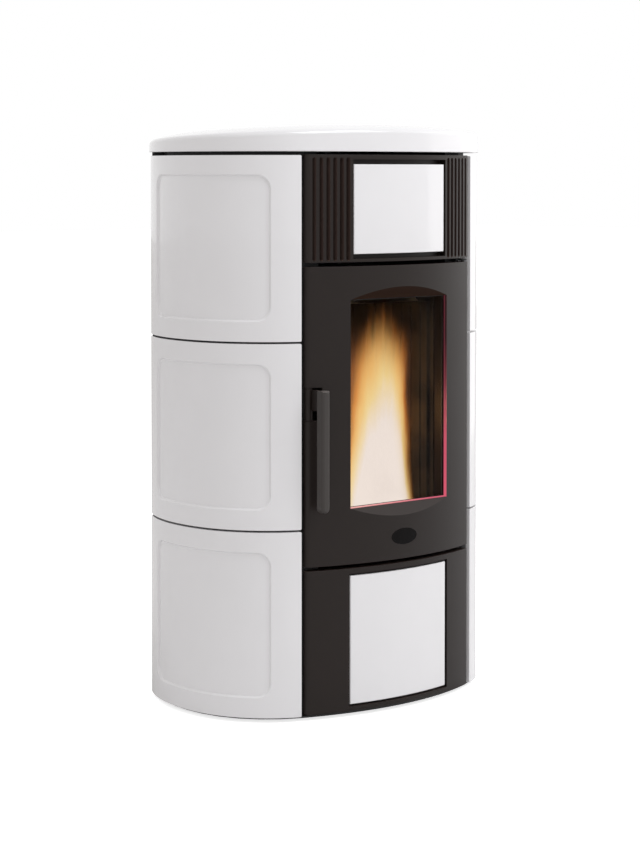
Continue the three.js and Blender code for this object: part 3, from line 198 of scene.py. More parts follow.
class StoveSizes(bpy.types.PropertyGroup):
    """Sizes of the stove's shaped surfaces."""

    tile_edge: length("Tile edge", "Rounding of a cladding tile's outer edge", 3)
    tile_wall: length("Tile wall", "Thickness of a cladding tile behind its field", 12)
    tile_trim: length("Tile trim", "How much a tile gives way at the column and under the top", 3.5)
    field_side: length("Field side margin", "From a tile's side to its sunk field", 62)
    field_end: length("Field end margin", "From a tile's foot or head to its sunk field", 38)
    field_radius: length("Field corner", "Corner radius of the sunk field", 28)
    field_sink: length("Field depth", "How far the field is sunk", 4)
    field_slope: length("Field slope", "Width of the field's sloping edge", 3)
    slab_overhang: length("Top overhang", "How far the top stands out past the cladding", 2)
    slab_lip: length("Top lip", "How far the top's lip hangs below its seat", 4.8)
    lip_width: length("Lip width", "Width of the top's lip", 9)
    slab_round: length("Top rounding", "Rounding of the top's upper edge", 8)
    crown_fall: length("Crown fall", "Fall of the top's dome at its reach", 15.2)
    crown_drop: length("Crown drop", "How far the dome's highest point stays under the top's full height", 3)
    shoulder_fall: length("Shoulder fall", "How far the top falls from its dome to its rim", 9)
    shoulder_width: length("Shoulder width", "From the rim to where the dome is level", 75)
    crown_reach: length("Crown reach", "Distance over which the dome falls", 441)
    lid_gap: length("Lid gap", "Gap round the fuel lid", 1)
    slot_width: length("Slot width", "Width of a slot in the grille", 10.2)
    slot_first: length("First slot", "From the middle to the first slot's middle", 134)
    slot_depth: length("Slot depth", "From the face to the hollow behind the slots", 13)
    slot_taper: FloatProperty(
        name="Slot taper", description="How much narrower a slot is at its depth", default=0.45
    )
    slot_pitch: length("Slot pitch", "From one slot to the next", 13.7)
    slot_count: IntProperty(name="Slots a side", description="Slots on each side of the grille", default=6)
    panel_round: length("Panel edge", "Rounding of a column panel's upper and lower edge", 6.5)
    window_half: length("Window half width", "From the door's middle to the window's side", 129)
    window_splay: length("Window splay", "How far the sloped facets climb at the door's middle", 22)
    badge_half: length("Badge half width", "Half the width of the bare oval badge", 33)
    badge_rise: length("Badge half height", "Half the height of the bare oval badge", 15.5)
    flame_half: length("Flame half width", "Half the flame's width at its foot", 74)
    flame_sheet: length("Flame sheets", "From one sheet of the flame to the next", 17)
    flame_shift: length("Flame shift", "From the stove's middle to the flame's", -2)
    flame_back: length("Flame setback", "From the glass to the flame's middle", 65)


class StoveFinishes(bpy.types.PropertyGroup):
    """Colours of the stove's surfaces, as linear values."""

    glaze: colour("Glaze", "White glaze of the tiles and the top", (0.80, 0.79, 0.80))
    anthracite: colour("Anthracite", "Satin enamel of the column", (0.0155, 0.0108, 0.0092))
    # Painted light: the slot walls get a paler copy of the anthracite, standing in for light that reaches
    # into the slots.
    slot: colour("Slot walls", "Enamel inside the grille's slots", (0.062, 0.040, 0.034))
    bronze: colour("Bronze grey", "Enamel of the handle's grip", (0.050, 0.044, 0.041))
    soot: colour("Soot", "Soot on the fire side of metal", (0.016, 0.013, 0.011))
    zinc: colour("Zinc", "Zinc-plated steel sheet", (0.42, 0.43, 0.44))
    board: colour("Fire board", "Pressed board of the baffle", (0.36, 0.27, 0.17))
    flame_core: colour("Flame core", "The hottest part of the flame", (0.98, 0.86, 0.78))
    flame_pale: colour("Pale flame", "The pale yellow round the core", (1.0, 0.74, 0.32))
    flame_yellow: colour("Yellow flame", "The yellow of the flame", (0.98, 0.53, 0.16))
    flame_orange: colour("Orange flame", "The orange near the flame's edge", (0.72, 0.24, 0.05))
    flame_brown: colour("Brown flame", "The dark brown of the flame's fringe", (0.19, 0.075, 0.035))
    glow: colour("Glow", "The fire's glow on the window's edge", (0.62, 0.085, 0.145))
    # Darker brown for the downward-facing facet over the window.
    arch: colour("Arch", "Dark brown enamel over the window", (0.020, 0.0085, 0.0045))


def sizes():
    return bpy.context.scene.stove_sizes


def finishes():
    return bpy.context.scene.stove_finishes


# ---- Modelling ------------------------------------------------------------------------------------
def activate(*pieces):
    bpy.ops.object.select_all(action="DESELECT")
    for piece in pieces:
        piece.select_set(True)
    bpy.context.view_layer.objects.active = pieces[0]


def primitive(name, operator, **settings):
    """Adds a primitive, names it and puts its place into its mesh."""
    bpy.ops.object.select_all(action="DESELECT")
    scale = settings.pop("scale", (1, 1, 1))
    operator(**settings)
    piece = bpy.context.object
    piece.name = piece.data.name = name
    piece.scale = scale
    activate(piece)
    bpy.ops.object.transform_apply(location=True, rotation=True, scale=True)
    return piece


def block(name, x0, x1, y0, y1, z0, z1):
    return primitive(
        name, bpy.ops.mesh.primitive_cube_add, size=1,
        location=((x0 + x1) / 2, (y0 + y1) / 2, (z0 + z1) / 2),
        scale=(x1 - x0, y1 - y0, z1 - z0),
    )


def barrel(name, radius, start, end, sides=48):
    start, end = Vector(start), Vector(end)
    along = end - start
    return primitive(
        name, bpy.ops.mesh.primitive_cylinder_add, vertices=sides, radius=radius, depth=along.length,
        location=(start + end) / 2, rotation=along.to_track_quat("Z", "Y").to_euler(),
    )


def raised(name, outline, z0, z1):
    """An outline in x and y, extruded upwards."""
    piece = primitive(
        name, bpy.ops.mesh.primitive_circle_add, vertices=len(outline), fill_type="NGON", location=(0, 0, z0)
    )
    for vertex, (x, y) in zip(piece.data.vertices, outline):
        vertex.co = (x, y, z0)
    with editing(piece):
        bpy.ops.mesh.select_all(action="SELECT")
        bpy.ops.mesh.extrude_region_move(TRANSFORM_OT_translate={"value": (0, 0, z1 - z0)})
        outwards()
    return piece


@contextmanager
def editing(piece):
    activate(piece)
    bpy.ops.object.mode_set(mode="EDIT")
    yield
    bpy.ops.object.mode_set(mode="OBJECT")


def outwards():
    bpy.ops.mesh.select_all(action="SELECT")
    bpy.ops.mesh.normals_make_consistent(inside=False)


def pick(kind, test):
    """Selects the vertices, edges or faces of the edited mesh that pass a test."""
    bpy.context.tool_settings.mesh_select_mode = (kind == "verts", kind == "edges", kind == "faces")
    mesh = bmesh.from_edit_mesh(bpy.context.object.data)
    bpy.ops.mesh.select_all(action="DESELECT")
    for element in getattr(mesh, kind):
        if test(element):
            element.select_set(True)
    mesh.select_flush_mode()
    bmesh.update_edit_mesh(bpy.context.object.data)


def middle(edge):
    return (edge.verts[0].co + edge.verts[1].co) / 2


def level(edge, z):
    """Whether an edge lies at a height."""
    return all(abs(v.co.z - z) < 0.05 * MM for v in edge.verts)


def run_y(edge):
    """How far an edge runs along Y."""
    return abs(edge.verts[0].co.y - edge.verts[1].co.y)


def before(edge, y):
    """Whether an edge lies further forward than a y."""
    return all(v.co.y < y for v in edge.verts)


def beyond(edge, y):
    """Whether an edge lies further back than a y."""
    return all(v.co.y > y for v in edge.verts)


def round_edges(piece, radius, test, segments=4):
    with editing(piece):
        pick("edges", test)
        bpy.ops.mesh.bevel(offset=radius, segments=segments, affect="EDGES", clamp_overlap=True)


def finish_with(piece, kind, **settings):
    """Adds a modifier and applies it."""
    activate(piece)
    modifier = piece.modifiers.new(kind.title(), kind)
    for key, value in settings.items():
        setattr(modifier, key, value)
    bpy.ops.object.modifier_apply(modifier=modifier.name)


def boolean(piece, operation, *tools):
    for tool in tools:
        finish_with(piece, "BOOLEAN", operation=operation, object=tool, solver="EXACT")
        bpy.data.objects.remove(tool)
    return piece


def cut(piece, *tools):
    return boolean(piece, "DIFFERENCE", *tools)


def soften(piece, width=0.6 * MM, segments=2, angle=35):
    """A fine bevel on every edge that turns more than an angle."""
    finish_with(
        piece, "BEVEL", width=width, segments=segments, limit_method="ANGLE",
        angle_limit=math.radians(angle), use_clamp_overlap=True, harden_normals=False,
    )


def smooth(piece, angle=32, weighted=True):
    activate(piece)
    bpy.ops.object.shade_smooth_by_angle(angle=math.radians(angle))
    if weighted:
        finish_with(piece, "WEIGHTED_NORMAL", keep_sharp=True, weight=60)


def slice_every(piece, axis, start, end, count):
    """Bisects a piece by even planes across an axis, so that it can bend."""
    normal = [0, 0, 0]
    normal[axis] = 1
    with editing(piece):
        for i in range(1, count):
            point = [0, 0, 0]
            point[axis] = start + (end - start) * i / count
            bpy.ops.mesh.select_all(action="SELECT")
            bpy.ops.mesh.bisect(plane_co=point, plane_no=normal)


def reshape(piece, place):
    """Moves each vertex to where a function puts it."""
    for vertex in piece.data.vertices:
        vertex.co = place(vertex.co.copy())
    piece.data.update()


def copy_of(piece, name, place=None):
    """A copy with its own mesh, moved by a function if one is given."""
    twin = piece.copy()
    twin.data = piece.data.copy()
    twin.name = twin.data.name = name
    bpy.context.scene.collection.objects.link(twin)
    if place:
        reshape(twin, place)
    return twin


def flipped(piece):
    """Turns the faces of a mirrored copy outwards again."""
    with editing(piece):
        bpy.ops.mesh.select_all(action="SELECT")
        bpy.ops.mesh.flip_normals()


def joined(name, pieces):
    activate(*pieces)
    if len(pieces) > 1:
        bpy.ops.object.join()
    piece = bpy.context.object
    piece.name = piece.data.name = name
    return piece


def behind_face(name, x0, x1, depth, rear, z0, z1, count=24):
    """What lies behind the column's face at a depth, back to a y."""
    return raised(name, plan.column_line(x0, x1, depth, count) + [(x1, rear), (x0, rear)], z0, z1)


def before_face(name, x0, x1, depth, z0, z1, count=40):
    """What lies before the column's face at a depth."""
    front = door_low.y - 10 * MM
    return raised(name, plan.column_line(x0, x1, depth, count) + [(x1, front), (x0, front)], z0, z1)


def column_strip(name, x0, x1, depth, thickness, z0, z1, count=40):
    """A plate that follows the column's face between two depths."""
    back = plan.column_line(x0, x1, depth + thickness, count)
    return raised(name, plan.column_line(x0, x1, depth, count) + back[::-1], z0, z1)


def coat(mesh, finish):
    mesh.materials.clear()
    mesh.materials.append(material(finish).data)


def settle(piece, finish, body, *replaced, slot=None):
    """Gives a finished piece its material and body, and hides the CAD nodes it stands for.

    The slot argument is not used.
    """
    coat(piece.data, finish)
    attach(piece, body)
    if slot is None:
        slot = finish
    if replaced:
        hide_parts(*replaced)


def paint(finish, *names):
    """Gives CAD nodes a material."""
    for name in names:
        coat(frame["nodes"][name].data, finish)


def second_finish(piece, finish, test):
    """Gives the faces that pass a test another material."""
    piece.data.materials.append(material(finish).data)
    for face in piece.data.polygons:
        if test(face):
            face.material_index = 1


# ---- Shader maths ---------------------------------------------------------------------------------
class Shade:
    """A value on its way to a socket. Sums with it add Math nodes to its finish."""

    def __init__(self, finish, socket):
        self.finish, self.socket = finish, socket

    def _math(self, operation, first, second=0.0):
        return self.finish.node("ShaderNodeMath", {"operation": operation}, {0: first, 1: second})

    def __add__(self, other):
        return self._math("ADD", self, other)

    def __radd__(self, other):
        return self._math("ADD", other, self)

    def __sub__(self, other):
        return self._math("SUBTRACT", self, other)

    def __rsub__(self, other):
        return self._math("SUBTRACT", other, self)

    def __mul__(self, other):
        return self._math("MULTIPLY", self, other)

    def __rmul__(self, other):
        return self._math("MULTIPLY", other, self)

    def __truediv__(self, other):
        return self._math("DIVIDE", self, other)

    def __abs__(self):
        return self._math("ABSOLUTE", self)

    def most(self, other):
        return self._math("MAXIMUM", self, other)

    def step(self, low, high):
        """0 below low, 1 above high, and a smooth rise between them."""
        return self.finish.node(
            "ShaderNodeMapRange", {"interpolation_type": "SMOOTHSTEP"},
            {"Value": self, "From Min": low, "From Max": high},
        )


class Nodes:
    """The node tree of a material or a world, emptied."""

    def __init__(self, data):
        self.data = data
        data.use_nodes = True
        self.tree = data.node_tree
        self.tree.nodes.clear()

    def feed(self, socket, value):
        if isinstance(value, Shade):
            self.tree.links.new(value.socket, socket)
        elif socket.type == "RGBA" and len(value) == 3:
            socket.default_value = (*value, 1)
        else:
            socket.default_value = value

    def node(self, kind, settings=None, inputs=None, output=0):
        """Adds a node: its settings first, then the values or links of its sockets."""
        node = self.tree.nodes.new(kind)
        for key, value in (settings or {}).items():
            if key == "stops":
                ramp = node.color_ramp
                while len(ramp.elements) < len(value):
                    ramp.elements.new(0.5)
                for element, (position, tone) in zip(ramp.elements, value):
                    element.position = position
                    element.color = (*tone, 1)
            else:
                setattr(node, key, value)
        for key, value in (inputs or {}).items():
            self.feed(node.inputs[key], value)
        return Shade(self, node.outputs[output])

    def end(self, kind, shader):
        """Adds the output node and gives it its shader."""
        self.feed(self.tree.nodes.new(kind).inputs["Surface"], shader)


class Finish(Nodes):
    """A material with one Principled shader."""

    def __init__(self, name, **sockets):
        super().__init__(bpy.data.materials.new(name))
        self.surface = self.tree.nodes.new("ShaderNodeBsdfPrincipled")
        self.end("ShaderNodeOutputMaterial", Shade(self, self.surface.outputs[0]))
        self.set(**sockets)

    def set(self, **sockets):
        for name, value in sockets.items():
            self.feed(self.surface.inputs[name.replace("_", " ").title().replace("Ior", "IOR")], value)
        return self

    def place(self, scale=(1, 1, 1), shift=(0, 0, 0), turn=(0, 0, 0)):
        """Object coordinates, stretched, shifted and turned."""
        coordinates = self.node("ShaderNodeTexCoord", output="Object")
        return self.node("ShaderNodeMapping", None, {
            "Vector": coordinates, "Scale": scale, "Location": shift, "Rotation": turn,
        })

    def axis(self, name):
        return self.node(
            "ShaderNodeSeparateXYZ", None, {"Vector": self.node("ShaderNodeTexCoord", output="Object")}, name
        )

    def upwards(self):
        """How far the surface faces up, from -1 to 1."""
        normal = self.node("ShaderNodeNewGeometry", output="Normal")
        return self.node("ShaderNodeSeparateXYZ", None, {"Vector": normal}, "Z")

    def noise(self, scale, detail=3, stretch=(1, 1, 1), roughness=0.5, shift=(0, 0, 0)):
        return self.node(
            "ShaderNodeTexNoise", None,
            {"Vector": self.place(stretch, shift), "Scale": scale, "Detail": detail, "Roughness": roughness},
        )

    def mix(self, factor, first, second):
        return self.node(
            "ShaderNodeMix", {"data_type": "RGBA"}, {0: factor, 6: first, 7: second}, output=2
        )

    def ramp(self, factor, *stops):
        return self.node("ShaderNodeValToRGB", {"stops": stops}, {"Fac": factor})

    def bump(self, height, strength, distance):
        return self.node(
            "ShaderNodeBump", None, {"Height": height, "Strength": strength, "Distance": distance * MM}
        )


def tint(tone, factor):
    return tuple(min(1, channel * factor) for channel in tone)


def white_glaze():
    """Glossy white glaze: hardly any mottle, a soft ripple and tiny pinholes."""
    tone = finishes().glaze
    glaze = Finish("white_glaze", Specular_IOR_Level=0.5, Coat_Roughness=0.03)
    mottle = glaze.noise(9, 3).step(0.3, 0.7)
    speck = glaze.noise(900, 2).step(0.74, 0.80)
    tones = glaze.mix(mottle, tint(tone, 0.985), tone)
    ripple = glaze.noise(26, 2) + glaze.noise(210, 1) * 0.05
    return glaze.set(
        Base_Color=glaze.mix(speck * 0.25, tones, tint(tone, 0.78)),
        Roughness=0.13 + mottle * 0.04,
        Coat_Weight=0.5 - speck * 0.4,
        Normal=glaze.bump(ripple, 0.12, 0.6),
    )


def satin_enamel(name, tone, roughness):
    """Baked enamel on metal: a fine grain, slightly uneven in gloss, with a painted highlight that makes it
    paler where it faces up.
    """
    enamel = Finish(name, Metallic=0.0, Specular_IOR_Level=0.22)
    cloud = enamel.noise(7, 4)
    grain = enamel.noise(1400, 2)
    level_tone = enamel.mix((cloud * 0.5 + grain * 0.5).step(0.3, 0.7), tint(tone, 0.93), tint(tone, 1.07))
    # Painted highlight: faces that turn up are mixed towards a far paler tone, standing in for light from
    # above.
    facing_up_sheen = enamel.upwards().step(0.25, 0.95)
    return enamel.set(
        Base_Color=enamel.mix(facing_up_sheen, level_tone, tint(tone, 2.6)),
        Roughness=roughness - 0.05 + cloud * 0.1,
        Normal=enamel.bump(grain, 0.12, 0.06),
    )


def black_steel():
    """Heat-resistant black paint on sheet steel."""
    paint_coat = Finish("black_steel", Metallic=0.1)
    cloud = paint_coat.noise(11, 4)
    grain = paint_coat.noise(1100, 2)
    return paint_coat.set(
        Base_Color=paint_coat.mix(cloud, (0.018, 0.018, 0.019), (0.028, 0.027, 0.027)),
        Roughness=0.52 + grain * 0.16,
        Normal=paint_coat.bump(grain, 0.25, 0.08),
    )


def zinc_steel():
    """Zinc plating: a faint spangle, drawn lines and dull patches."""
    tone = finishes().zinc
    zinc = Finish("zinc_steel", Metallic=1.0)
    spangle = zinc.node(
        "ShaderNodeTexVoronoi", None, {"Vector": zinc.place(), "Scale": 90.0, "Randomness": 1.0}, "Distance"
    )
    drawn = zinc.noise(40, 3, (1, 1, 14))
    dull = zinc.noise(8, 4).step(0.4, 0.7)
    return zinc.set(
        Base_Color=zinc.mix(spangle * 0.4 + drawn * 0.4, tint(tone, 0.85), tint(tone, 1.1)),
        Roughness=0.3 + dull * 0.15 + spangle * 0.06,
        Normal=zinc.bump(drawn, 0.08, 0.1),
    )


def stainless():
    """Plain rolled stainless steel."""
    steel = Finish("stainless", Metallic=1.0)
    rolled = steel.noise(60, 3, (1, 1, 10))
    return steel.set(
        Base_Color=steel.mix(rolled, (0.48, 0.48, 0.47), (0.60, 0.60, 0.59)),
        Roughness=0.25 + rolled * 0.15,
        Normal=steel.bump(rolled, 0.06, 0.1),
    )


def cast_iron():
    """Cast iron behind the fire door: a sandy skin with soot, browner where it is hot."""
    iron = Finish("cast_iron", Metallic=0.3)
    sand = iron.noise(520, 3, roughness=0.7)
    soot = iron.noise(14, 4).step(0.35, 0.65)
    return iron.set(
        Base_Color=iron.mix(soot, (0.050, 0.036, 0.022), finishes().soot),
        Roughness=0.62 + sand * 0.3,
        Normal=iron.bump(sand, 0.5, 0.35),
    )


def fire_board():
    """Pressed mineral board: flaky grains, darkened by smoke."""
    tone = finishes().board
    board = Finish("fire_board")
    flakes = board.node("ShaderNodeTexVoronoi", None, {"Vector": board.place(), "Scale": 320.0}, "Distance")
    smoke = board.noise(12, 4).step(0.35, 0.75)
    grains = board.mix(flakes, tint(tone, 0.8), tint(tone, 1.15))
    return board.set(
        Base_Color=board.mix(smoke * 0.7, grains, tint(tone, 0.3)),
        Roughness=0.85 + flakes * 0.1,
        Normal=board.bump(flakes, 0.6, 0.5),
    )


def stove_glass():
    """Clear heat-resistant glass with a faint brown tint and a trace of soot."""
    glass = Finish("stove_glass", Roughness=0.03, IOR=1.5, Specular_IOR_Level=0.15)
    haze = glass.noise(10, 4).step(0.45, 0.8)
    return glass.set(
        Base_Color=glass.mix(haze, (0.020, 0.014, 0.010), (0.04, 0.028, 0.020)),
        Alpha=0.06 + haze * 0.03,
    )


def rope_seal():
    """Braided glass-fibre rope."""
    rope = Finish("rope_seal")
    strands = rope.node(
        "ShaderNodeTexWave", {"bands_direction": "DIAGONAL"},
        {"Vector": rope.place(), "Scale": 160.0, "Distortion": 1.5, "Detail": 1.0}, "Fac",
    )
    soot = rope.noise(20, 3)
    return rope.set(
        Base_Color=rope.mix(strands * 0.6 + soot * 0.4, (0.035, 0.031, 0.028), (0.17, 0.155, 0.14)),
        Roughness=0.92,
        Normal=rope.bump(strands, 0.8, 0.6),
    )


def black_plastic():
    """Moulded plastic with a fine spark-eroded grain."""
    plastic = Finish("black_plastic", Specular_IOR_Level=0.45)
    grain = plastic.noise(1500, 2)
    return plastic.set(
        Base_Color=plastic.mix(plastic.noise(15, 3), (0.012, 0.012, 0.013), (0.018, 0.018, 0.019)),
        Roughness=0.42 + grain * 0.15,
        Normal=plastic.bump(grain, 0.3, 0.06),
    )


def black_gloss():
    """Black lacquer on the bare badge."""
    lacquer = Finish("black_gloss", Specular_IOR_Level=0.06, Coat_Roughness=0.04)
    cloud = lacquer.noise(30, 3)
    return lacquer.set(
        Base_Color=lacquer.mix(cloud, (0.002, 0.0015, 0.0015), (0.004, 0.003, 0.003)),
        Roughness=0.16 + cloud * 0.06,
        Coat_Weight=0.02 + cloud * 0.03,
    )


def flame():
    """The flame: a hot core that cools upwards and outwards and breaks into streaks."""
    s, tones = sizes(), finishes()
    centre, foot, height = flame_place()
    along = flame_facing()[1]
    fire = Finish("flame", Base_Color=(0, 0, 0), Roughness=1.0, Specular_IOR_Level=0.0, Emission_Strength=1.0)
    x, y = fire.axis("X") - centre.x, fire.axis("Y") - centre.y
    rise = (fire.axis("Z") - foot) / height
    streak = fire.noise(1.0, 5, (40, 13, 4.5), 0.6)
    billow = fire.noise(1.0, 3, (14, 9, 7), 0.5, (0.3, 0.1, 0.4))
    across = (x * along.x + y * along.y) / s.flame_half + (billow - 0.5) * rise * 0.7
    waist = rise - 0.42
    ragged = (billow - 0.5) * 0.3 + (streak - 0.5) * (rise * 0.7 + 0.1)
    inside = 1.0 + waist * waist * 1.15 + ragged - abs(across)
    off = across - 0.16 - rise * 0.16
    fringe = 1.0 - inside.step(0.0, 0.36)
    heat = 1.52 - rise * 1.20 - off * off * 0.80 - fringe * 0.5 + (streak - 0.5) * (rise * 0.8 + 0.06)
    head = (rise + (streak - 0.5) * 0.45 + abs(off) * 0.1).step(0.60, 0.92)
    return fire.set(
        Emission_Color=fire.ramp(
            heat, (0.0, tones.flame_brown), (0.12, tones.flame_brown), (0.34, tones.flame_orange),
            (0.54, tones.flame_yellow), (0.76, tones.flame_pale), (0.96, tones.flame_core),
        ),
        Alpha=inside.step(0.0, 0.30) * (1.0 - head) * (0.60 - rise * 0.26),
    )


def ember():
    """Burning pellets: glowing orange where they lie deep, grey with ash on top."""
    coal = Finish("ember", Roughness=0.95, Emission_Strength=1.0)
    ash = coal.noise(130, 3).step(0.42, 0.66)
    heat = coal.noise(60, 2).step(0.3, 0.7)
    hot = coal.mix(heat, (0.75, 0.14, 0.015), (1.0, 0.50, 0.12))
    return coal.set(
        Base_Color=coal.mix(ash, (0.03, 0.018, 0.012), (0.22, 0.20, 0.18)),
        Emission_Color=coal.mix(ash, hot, (0.12, 0.015, 0.002)),
        Normal=coal.bump(ash, 0.5, 0.4),
    )


def pressed_wood():
    """Wood pellets: pressed sawdust, pale brown, streaked along and glazed in patches."""
    wood = Finish("pressed_wood")
    fibre = wood.noise(420, 3, roughness=0.65)
    shade = wood.noise(45, 2)
    return wood.set(
        Base_Color=wood.mix(fibre * 0.6 + shade * 0.4, (0.24, 0.135, 0.062), (0.50, 0.33, 0.17)),
        Roughness=0.55 + fibre * 0.25,
        Normal=wood.bump(fibre, 0.5, 0.3),
    )


def window_glow():
    """The fire's glow on the window's edge, stronger towards the foot."""
    tone = finishes().glow
    low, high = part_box("door_glass")
    edge = Finish("window_glow", Roughness=0.35, Emission_Strength=1.0)
    height = (edge.axis("Z") - low.z) / (high.z - low.z)
    flicker = edge.noise(14, 2) * 0.12
    upright = edge.ramp(
        height + flicker, (0.0, tint(tone, 1.05)), (0.36, tint(tone, 0.85)),
        (0.62, tint(tone, 0.22)), (0.85, tint(tone, 0.03)),
    )
    sill = edge.ramp((edge.axis("X") - low.x) / (high.x - low.x), (0.1, (0.80, 0.36, 0.34)), (0.8, tone))
    return edge.set(
        Base_Color=edge.mix(flicker, (0.02, 0.012, 0.012), (0.03, 0.02, 0.02)),
        Emission_Color=edge.mix(edge.axis("X").step(0.9 * high.x, 0.92 * high.x), sill, upright),
    )


def browned_enamel():
    """The column's enamel in a darker brown with little gloss, for the downward facet over the window."""
    tone = finishes().arch
    brown = Finish("browned_enamel", Specular_IOR_Level=0.05)
    cloud = brown.noise(18, 3)
    return brown.set(
        Base_Color=brown.mix(cloud, tint(tone, 0.85), tint(tone, 1.15)), Roughness=0.55 + cloud * 0.1,
    )


MAKERS = {maker.__name__: maker for maker in (
    white_glaze, black_steel, zinc_steel, stainless, cast_iron, fire_board, stove_glass, rope_seal,
    black_plastic, black_gloss, flame, ember, pressed_wood, window_glow, browned_enamel,
)}
MAKERS.update({
    "anthracite": lambda: satin_enamel("anthracite", finishes().anthracite, 0.42),
    # Painted light: a paler enamel for the slots' side walls.
    "slot_enamel": lambda: satin_enamel("slot_enamel", finishes().slot, 0.5),
    "bronze": lambda: satin_enamel("bronze_grey", finishes().bronze, 0.36),
})
MADE = {}


def material(name):
    """Each material is made once, when a piece first asks for it."""
    if name not in MADE:
        MADE[name] = MAKERS[name]()
    return MADE[name]


# ---- Pieces ---------------------------------------------------------------------------------------
class PieceMaker:
    """What every operator here shares."""

    bl_options = {"REGISTER", "UNDO"}
    painted = {}

    def execute(self, context):
        for finish, nodes in self.painted.items():
            paint(finish, *nodes.split())
        self.make()
        return {"FINISHED"}

    def make(self):
        """Makes the pieces of an operator that has more to do than to paint CAD nodes."""


class STOVE_OT_side_tiles(PieceMaker, bpy.types.Operator):
    """The six curved tiles, each with a sunk field."""

    bl_idname = "stove.side_tiles"
    bl_label = "Side tiles"

    def make(self):
        s = sizes()
        low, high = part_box("tile_right_bottom")
        span, height, depth = plan.side_length, high.z - low.z, plan.tile_depth
        trim = s.tile_trim
        head_band, joint_drop = 5 * MM, 0.8 * MM
        flat = block("tile", trim, span, 0, depth, 0, height)
        cut(flat, self.field(span, height))
        hollow = s.tile_wall
        cut(flat, block("hollow", trim + hollow, span - hollow, hollow, depth + MM, hollow, height - hollow))
        self.soften_field(flat, span, height, depth)
        slice_every(flat, 0, 0, span, 64)
        reshape(flat, lambda p: Vector((*plan.side(p.x, p.y), low.z + p.z)))
        with editing(flat):
            bpy.ops.mesh.select_all(action="SELECT")
            bpy.ops.mesh.remove_doubles(threshold=0.02 * MM)
            outwards()
        for side, way in (("right", 1), ("left", -1)):
            for course in ("bottom", "middle", "top"):
                node = f"tile_{side}_{course}"
                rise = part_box(node)[0].z - low.z
                head = low.z + height - head_band
                drop = trim / 2 if course == "top" else joint_drop

                def placed(p):
                    return Vector((p.x * way, p.y, p.z + rise - (drop if p.z > head else 0)))

                tile = copy_of(flat, "glazed_" + node, placed)
                if way < 0:
                    flipped(tile)
                smooth(tile, 40)
                settle(tile, "white_glaze", "root", node)
        bpy.data.objects.remove(flat)

    def field(self, span, height):
        """The tool that sinks the field: a rounded rectangle, wider towards the front."""
        s = sizes()
        slope = s.field_slope / s.field_sink
        sink = s.field_sink
        half = Vector((span / 2 - s.field_side - s.field_slope, 0, height / 2 - s.field_end - s.field_slope))
        centre = Vector((span / 2, sink, height / 2))
        tool = primitive(
            "field", bpy.ops.mesh.primitive_plane_add, size=1, rotation=(math.pi / 2, 0, 0),
            location=centre, scale=(2 * half.x, 2 * half.z, 1),
        )
        with editing(tool):
            pick("verts", lambda v: True)
            bpy.ops.mesh.bevel(offset=s.field_radius - s.field_slope / 2, segments=10, affect="VERTICES")
            bpy.ops.mesh.select_all(action="SELECT")
            bpy.ops.mesh.extrude_region_move(TRANSFORM_OT_translate={"value": (0, -2 * sink, 0)})
            grow = 2 * sink * slope
            bpy.ops.transform.resize(
                value=((half.x + grow) / half.x, 1, (half.z + grow) / half.z),
                center_override=(centre.x, -sink, centre.z),
            )
            outwards()
        return tool

    def soften_field(self, tile, span, height, depth):
        s = sizes()
        margin_x, margin_z = s.field_side - 2 * MM, s.field_end - 2 * MM

        def in_field(edge):
            at = middle(edge)
            inside = margin_x < at.x < span - margin_x and margin_z < at.z < height - margin_z
            flat_run = run_y(edge) < 0.01 * MM
            return inside and flat_run and at.y < s.field_sink + MM

        def on_rim(edge):
            return before(edge, 0.01 * MM) and not in_field(edge)

        def on_corner(edge):
            along_y = run_y(edge) > depth / 2
            at = middle(edge)
            outer = min(at.x - s.tile_trim, span - at.x) < 0.1 * MM and min(at.z, height - at.z) < 0.1 * MM
            return along_y and outer

        round_edges(tile, s.tile_edge * 0.8, on_corner, 3)
        round_edges(tile, s.tile_edge, on_rim, 4)
        round_edges(tile, 1.4 * MM, in_field, 3)


def crown(x, y):
    """The height of the top: a flat dome that falls off more towards the rim."""
    s = sizes()
    reach = math.hypot(x, y - door_low.y)
    inwards = min(max(plan.inset(x, y) / s.shoulder_width, 0), 1)
    shoulder = s.shoulder_fall * (1 - inwards) ** 2
    return slab_high.z - s.crown_drop - s.crown_fall * (reach / s.crown_reach) ** 2 - shoulder


def domed_top(name):
    """The whole top as one solid: the body's outline with a rounded edge and a very flat dome."""
    s = sizes()
    rear = slab_high.y
    top = slab_high.z
    foot = slab_low.z - s.slab_lip
    piece = raised(name, plan.body_outline(-s.slab_overhang, rear), foot, top)
    round_edges(piece, s.slab_round, lambda e: level(e, top), 7)
    round_edges(piece, 2 * MM, lambda e: level(e, foot), 3)
    cut(piece, raised("seat", plan.body_outline(s.lip_width, rear + MM), foot - MM, slab_low.z))
    slice_every(piece, 0, -350 * MM, 350 * MM, 28)
    slice_every(piece, 1, slab_low.y, rear, 18)
    rim = slab_low.z + 12 * MM

    def domed(p):
        return Vector((p.x, p.y, p.z + crown(p.x, p.y) - top if p.z > rim else p.z))

    reshape(piece, domed)
    return piece


